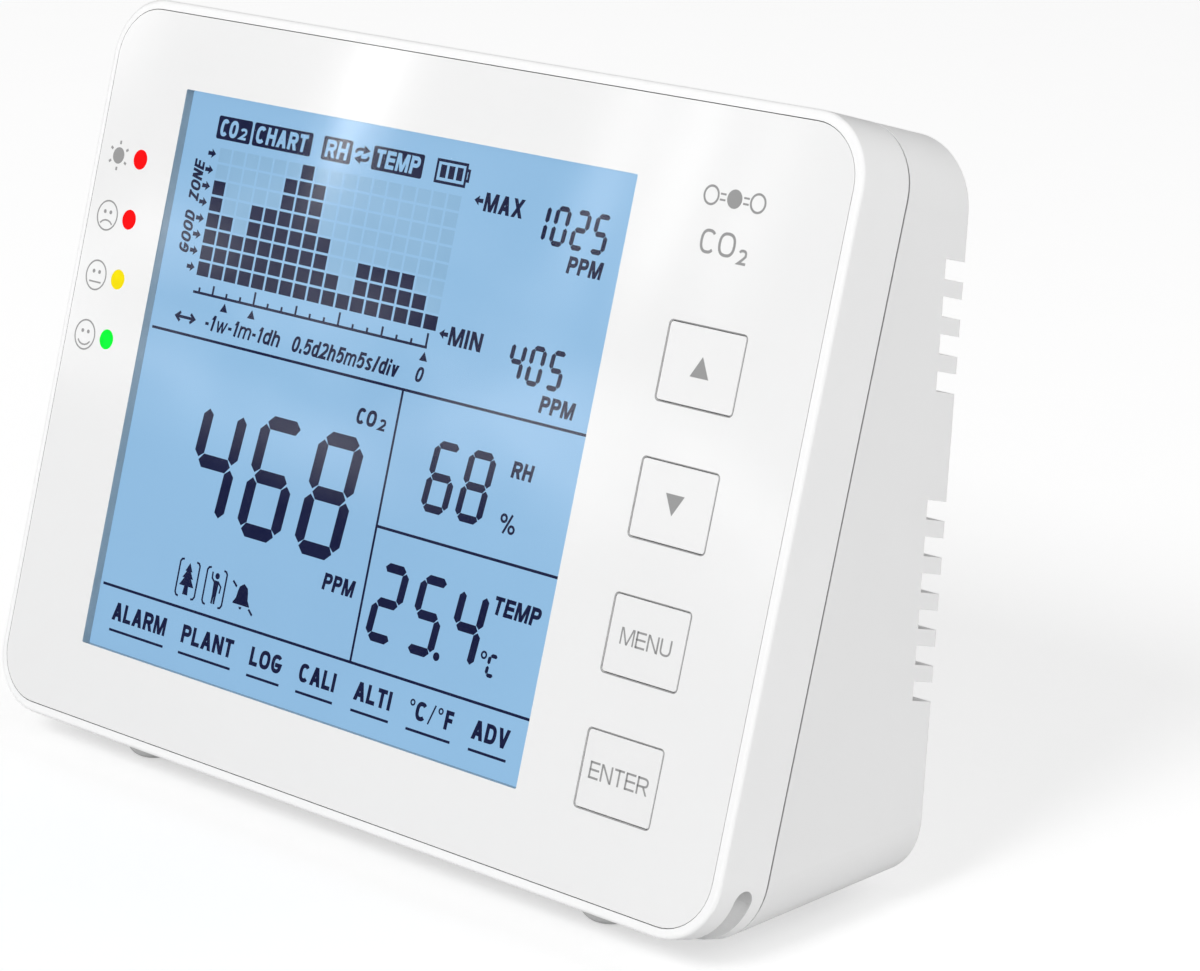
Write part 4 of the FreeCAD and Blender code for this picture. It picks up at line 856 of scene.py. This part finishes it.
# The floor paper glows as well as reflecting, and more to the camera than to the case.
FLOOR_HALF, FLOOR_GAP = 3.0, 5e-5
FLOOR_GLOW_ON_CASE, FLOOR_GLOW_SEEN = 0.10, 0.49
paper = moulded("floor_paper", grey(0.62), 0.004, (0.7, 0.8), 900.0, 2e-6, Specular_IOR_Level=0.0)
glow = paper.add("ShaderNodeEmission")
glow.inputs["Color"].default_value = (1, 1, 1, 1)
lift = paper.spread(paper.add("ShaderNodeLightPath"), "Is Camera Ray",
                    FLOOR_GLOW_ON_CASE, FLOOR_GLOW_SEEN, 0.0, 1.0)
paper.link(lift, "Result", glow, "Strength")
both = paper.add("ShaderNodeAddShader")
paper.tree.links.new(paper.main.outputs["BSDF"], both.inputs[0])
paper.tree.links.new(glow.outputs["Emission"], both.inputs[1])
paper.link(both, "Shader", paper.out, "Surface")
floor = square_sheet("studio_floor", FLOOR_HALF, paper)
floor.location.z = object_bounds()[0].z - FLOOR_GAP

# Studio air: bright near the horizon and dark overhead, brighter on the right than on the left,
# and dim in reflections.
HORIZON_LIGHT, OVERHEAD_LIGHT = 1.74, 0.25
LEFT_SHARE, RIGHT_SHARE = 0.72, 1.30
REFLECTED_LIGHT = 0.12
world = bpy.data.worlds.new("studio_air")
bpy.context.scene.world = world
world.use_nodes = True
air = world.node_tree
air.nodes.clear()
air_out = air.nodes.new("ShaderNodeOutputWorld")
broad = air.nodes.new("ShaderNodeBackground")
toward = air.nodes.new("ShaderNodeSeparateXYZ")
air.links.new(air.nodes.new("ShaderNodeTexCoord").outputs["Generated"], toward.inputs["Vector"])
air_light = air.nodes.new("ShaderNodeMath")
air_light.operation = "MULTIPLY"
for place, (axis, first, low, high) in enumerate((("Z", 0.0, HORIZON_LIGHT, OVERHEAD_LIGHT),
                                                  ("X", -1.0, LEFT_SHARE, RIGHT_SHARE))):
    grade = air.nodes.new("ShaderNodeMapRange")
    for socket, value in (("From Min", first), ("From Max", 1.0), ("To Min", low), ("To Max", high)):
        grade.inputs[socket].default_value = value
    air.links.new(toward.outputs[axis], grade.inputs["Value"])
    air.links.new(grade.outputs["Result"], air_light.inputs[place])
air.links.new(air_light.outputs["Value"], broad.inputs["Strength"])
glossy = air.nodes.new("ShaderNodeBackground")
glossy.inputs["Strength"].default_value = REFLECTED_LIGHT
which = air.nodes.new("ShaderNodeLightPath")
split = air.nodes.new("ShaderNodeMixShader")
air.links.new(which.outputs["Is Glossy Ray"], split.inputs["Fac"])
air.links.new(broad.outputs["Background"], split.inputs[1])
air.links.new(glossy.outputs["Background"], split.inputs[2])
air.links.new(split.outputs["Shader"], air_out.inputs["Surface"])


def soft_light(name, spot, aim, width, power):
    """Round lamp that does not show in reflections."""
    data = bpy.data.lights.new(name, "AREA")
    data.shape, data.size, data.energy = "DISK", width, power
    lamp = bpy.data.objects.new(name, data)
    lamp.location = spot
    lamp.rotation_mode = "QUATERNION"
    lamp.rotation_quaternion = (Vector(aim) - Vector(spot)).to_track_quat("-Z", "Y")
    bpy.context.scene.collection.objects.link(lamp)
    lamp.visible_glossy = False


soft_light("key_light", (0.2, -1.6, 1.4), (0, 0, 0.04), 0.7, 17.8)

# A soft card that only shows in glossy surfaces: upright streaks over a wide, cloudy band.
CARD_AT, CARD_FACES = Vector((-1.063, -1.057, 0.244)), Vector((0.703, 0.699, -0.131))
CARD_HALF, STREAK_LIGHT, BAND_LIGHT = 0.25, 10.0, 2.8
STREAK_START, STREAK_FULL = 0.07, 0.16
STREAKS = [(0.0, 0.0), (0.15, 0.0), (0.20, 0.22), (0.24, 0.0), (0.275, 0.45), (0.31, 0.05),
           (0.345, 0.28), (0.39, 0.0), (0.55, 0.0), (0.585, 0.30), (0.608, 1.0), (0.63, 0.12),
           (0.66, 0.0), (0.80, 0.0), (0.86, 0.30), (1.0, 0.30)]
BAND = [(0.0, 0.0), (0.40, 0.0), (0.50, 0.55), (0.58, 0.7), (0.68, 0.25), (0.80, 0.1), (1.0, 0.0)]
shine = Shader("card_glow")
card_place = shine.add("ShaderNodeSeparateXYZ")
shine.link(shine.place, "Object", card_place, "Vector")


def card_stripes(axis, stops):
    """Soft light and dark stripes across the card."""
    along = shine.spread(card_place, axis, 0.0, 1.0, -CARD_HALF, CARD_HALF)
    stripes = shine.ramp(along, "Result", [(spot, grey(level)) for spot, level in stops])
    stripes.color_ramp.interpolation = "EASE"
    return stripes


def card_part(stripes, cover, brightest):
    """Stripes held back by a cover, as light of a given strength."""
    part = shine.add("ShaderNodeMath", operation="MULTIPLY")
    shine.link(stripes, "Color", part, 0)
    shine.link(cover, "Result", part, 1)
    return shine.spread(part, "Value", 0.0, brightest, 0.0, 1.0)


high_up = shine.spread(card_place, "Y", 0.0, 1.0, STREAK_START, STREAK_FULL)
high_up.interpolation_type = "SMOOTHSTEP"
cloud = shine.spread(shine.noise(9.0, 2.0, stretch=(1.0, 1.4, 1.0)), "Fac", 0.0, 1.6, 0.38, 0.66)
total = shine.add("ShaderNodeMath", operation="ADD")
shine.link(card_part(card_stripes("X", STREAKS), high_up, STREAK_LIGHT), "Result", total, 0)
shine.link(card_part(card_stripes("Y", BAND), cloud, BAND_LIGHT), "Result", total, 1)
lit_card = shine.add("ShaderNodeEmission")
shine.link(total, "Value", lit_card, "Strength")
shine.link(lit_card, "Emission", shine.out, "Surface")
card = square_sheet("soft_card", CARD_HALF, shine)
card.location = CARD_AT
card.rotation_mode = "QUATERNION"
card.rotation_quaternion = CARD_FACES.to_track_quat("Z", "Y")
card.visible_camera = card.visible_diffuse = card.visible_shadow = False
card.visible_transmission = False

# ------------------------------------------------------------------------- camera
CAMERA_AT = Vector((0.306467, -0.304612, 0.163479))
AHEAD = Vector((-0.65268, 0.70585, -0.27529)).normalized()
RIGHT = Vector((0.73270, 0.68050, 0.00767)).normalized()
ABOVE = RIGHT.cross(AHEAD)
camera_data = bpy.data.cameras.new("camera")
camera_data.lens, camera_data.sensor_width = 114.95, 36.0
camera_data.clip_start, camera_data.clip_end = 0.01, 50.0
camera = bpy.data.objects.new("camera", camera_data)
turned = Matrix((RIGHT, ABOVE, -AHEAD)).transposed().to_4x4()
camera.matrix_world = Matrix.Translation(CAMERA_AT) @ turned
bpy.context.scene.collection.objects.link(camera)
bpy.context.scene.camera = camera
bpy.context.scene.view_settings.view_transform = "Standard"
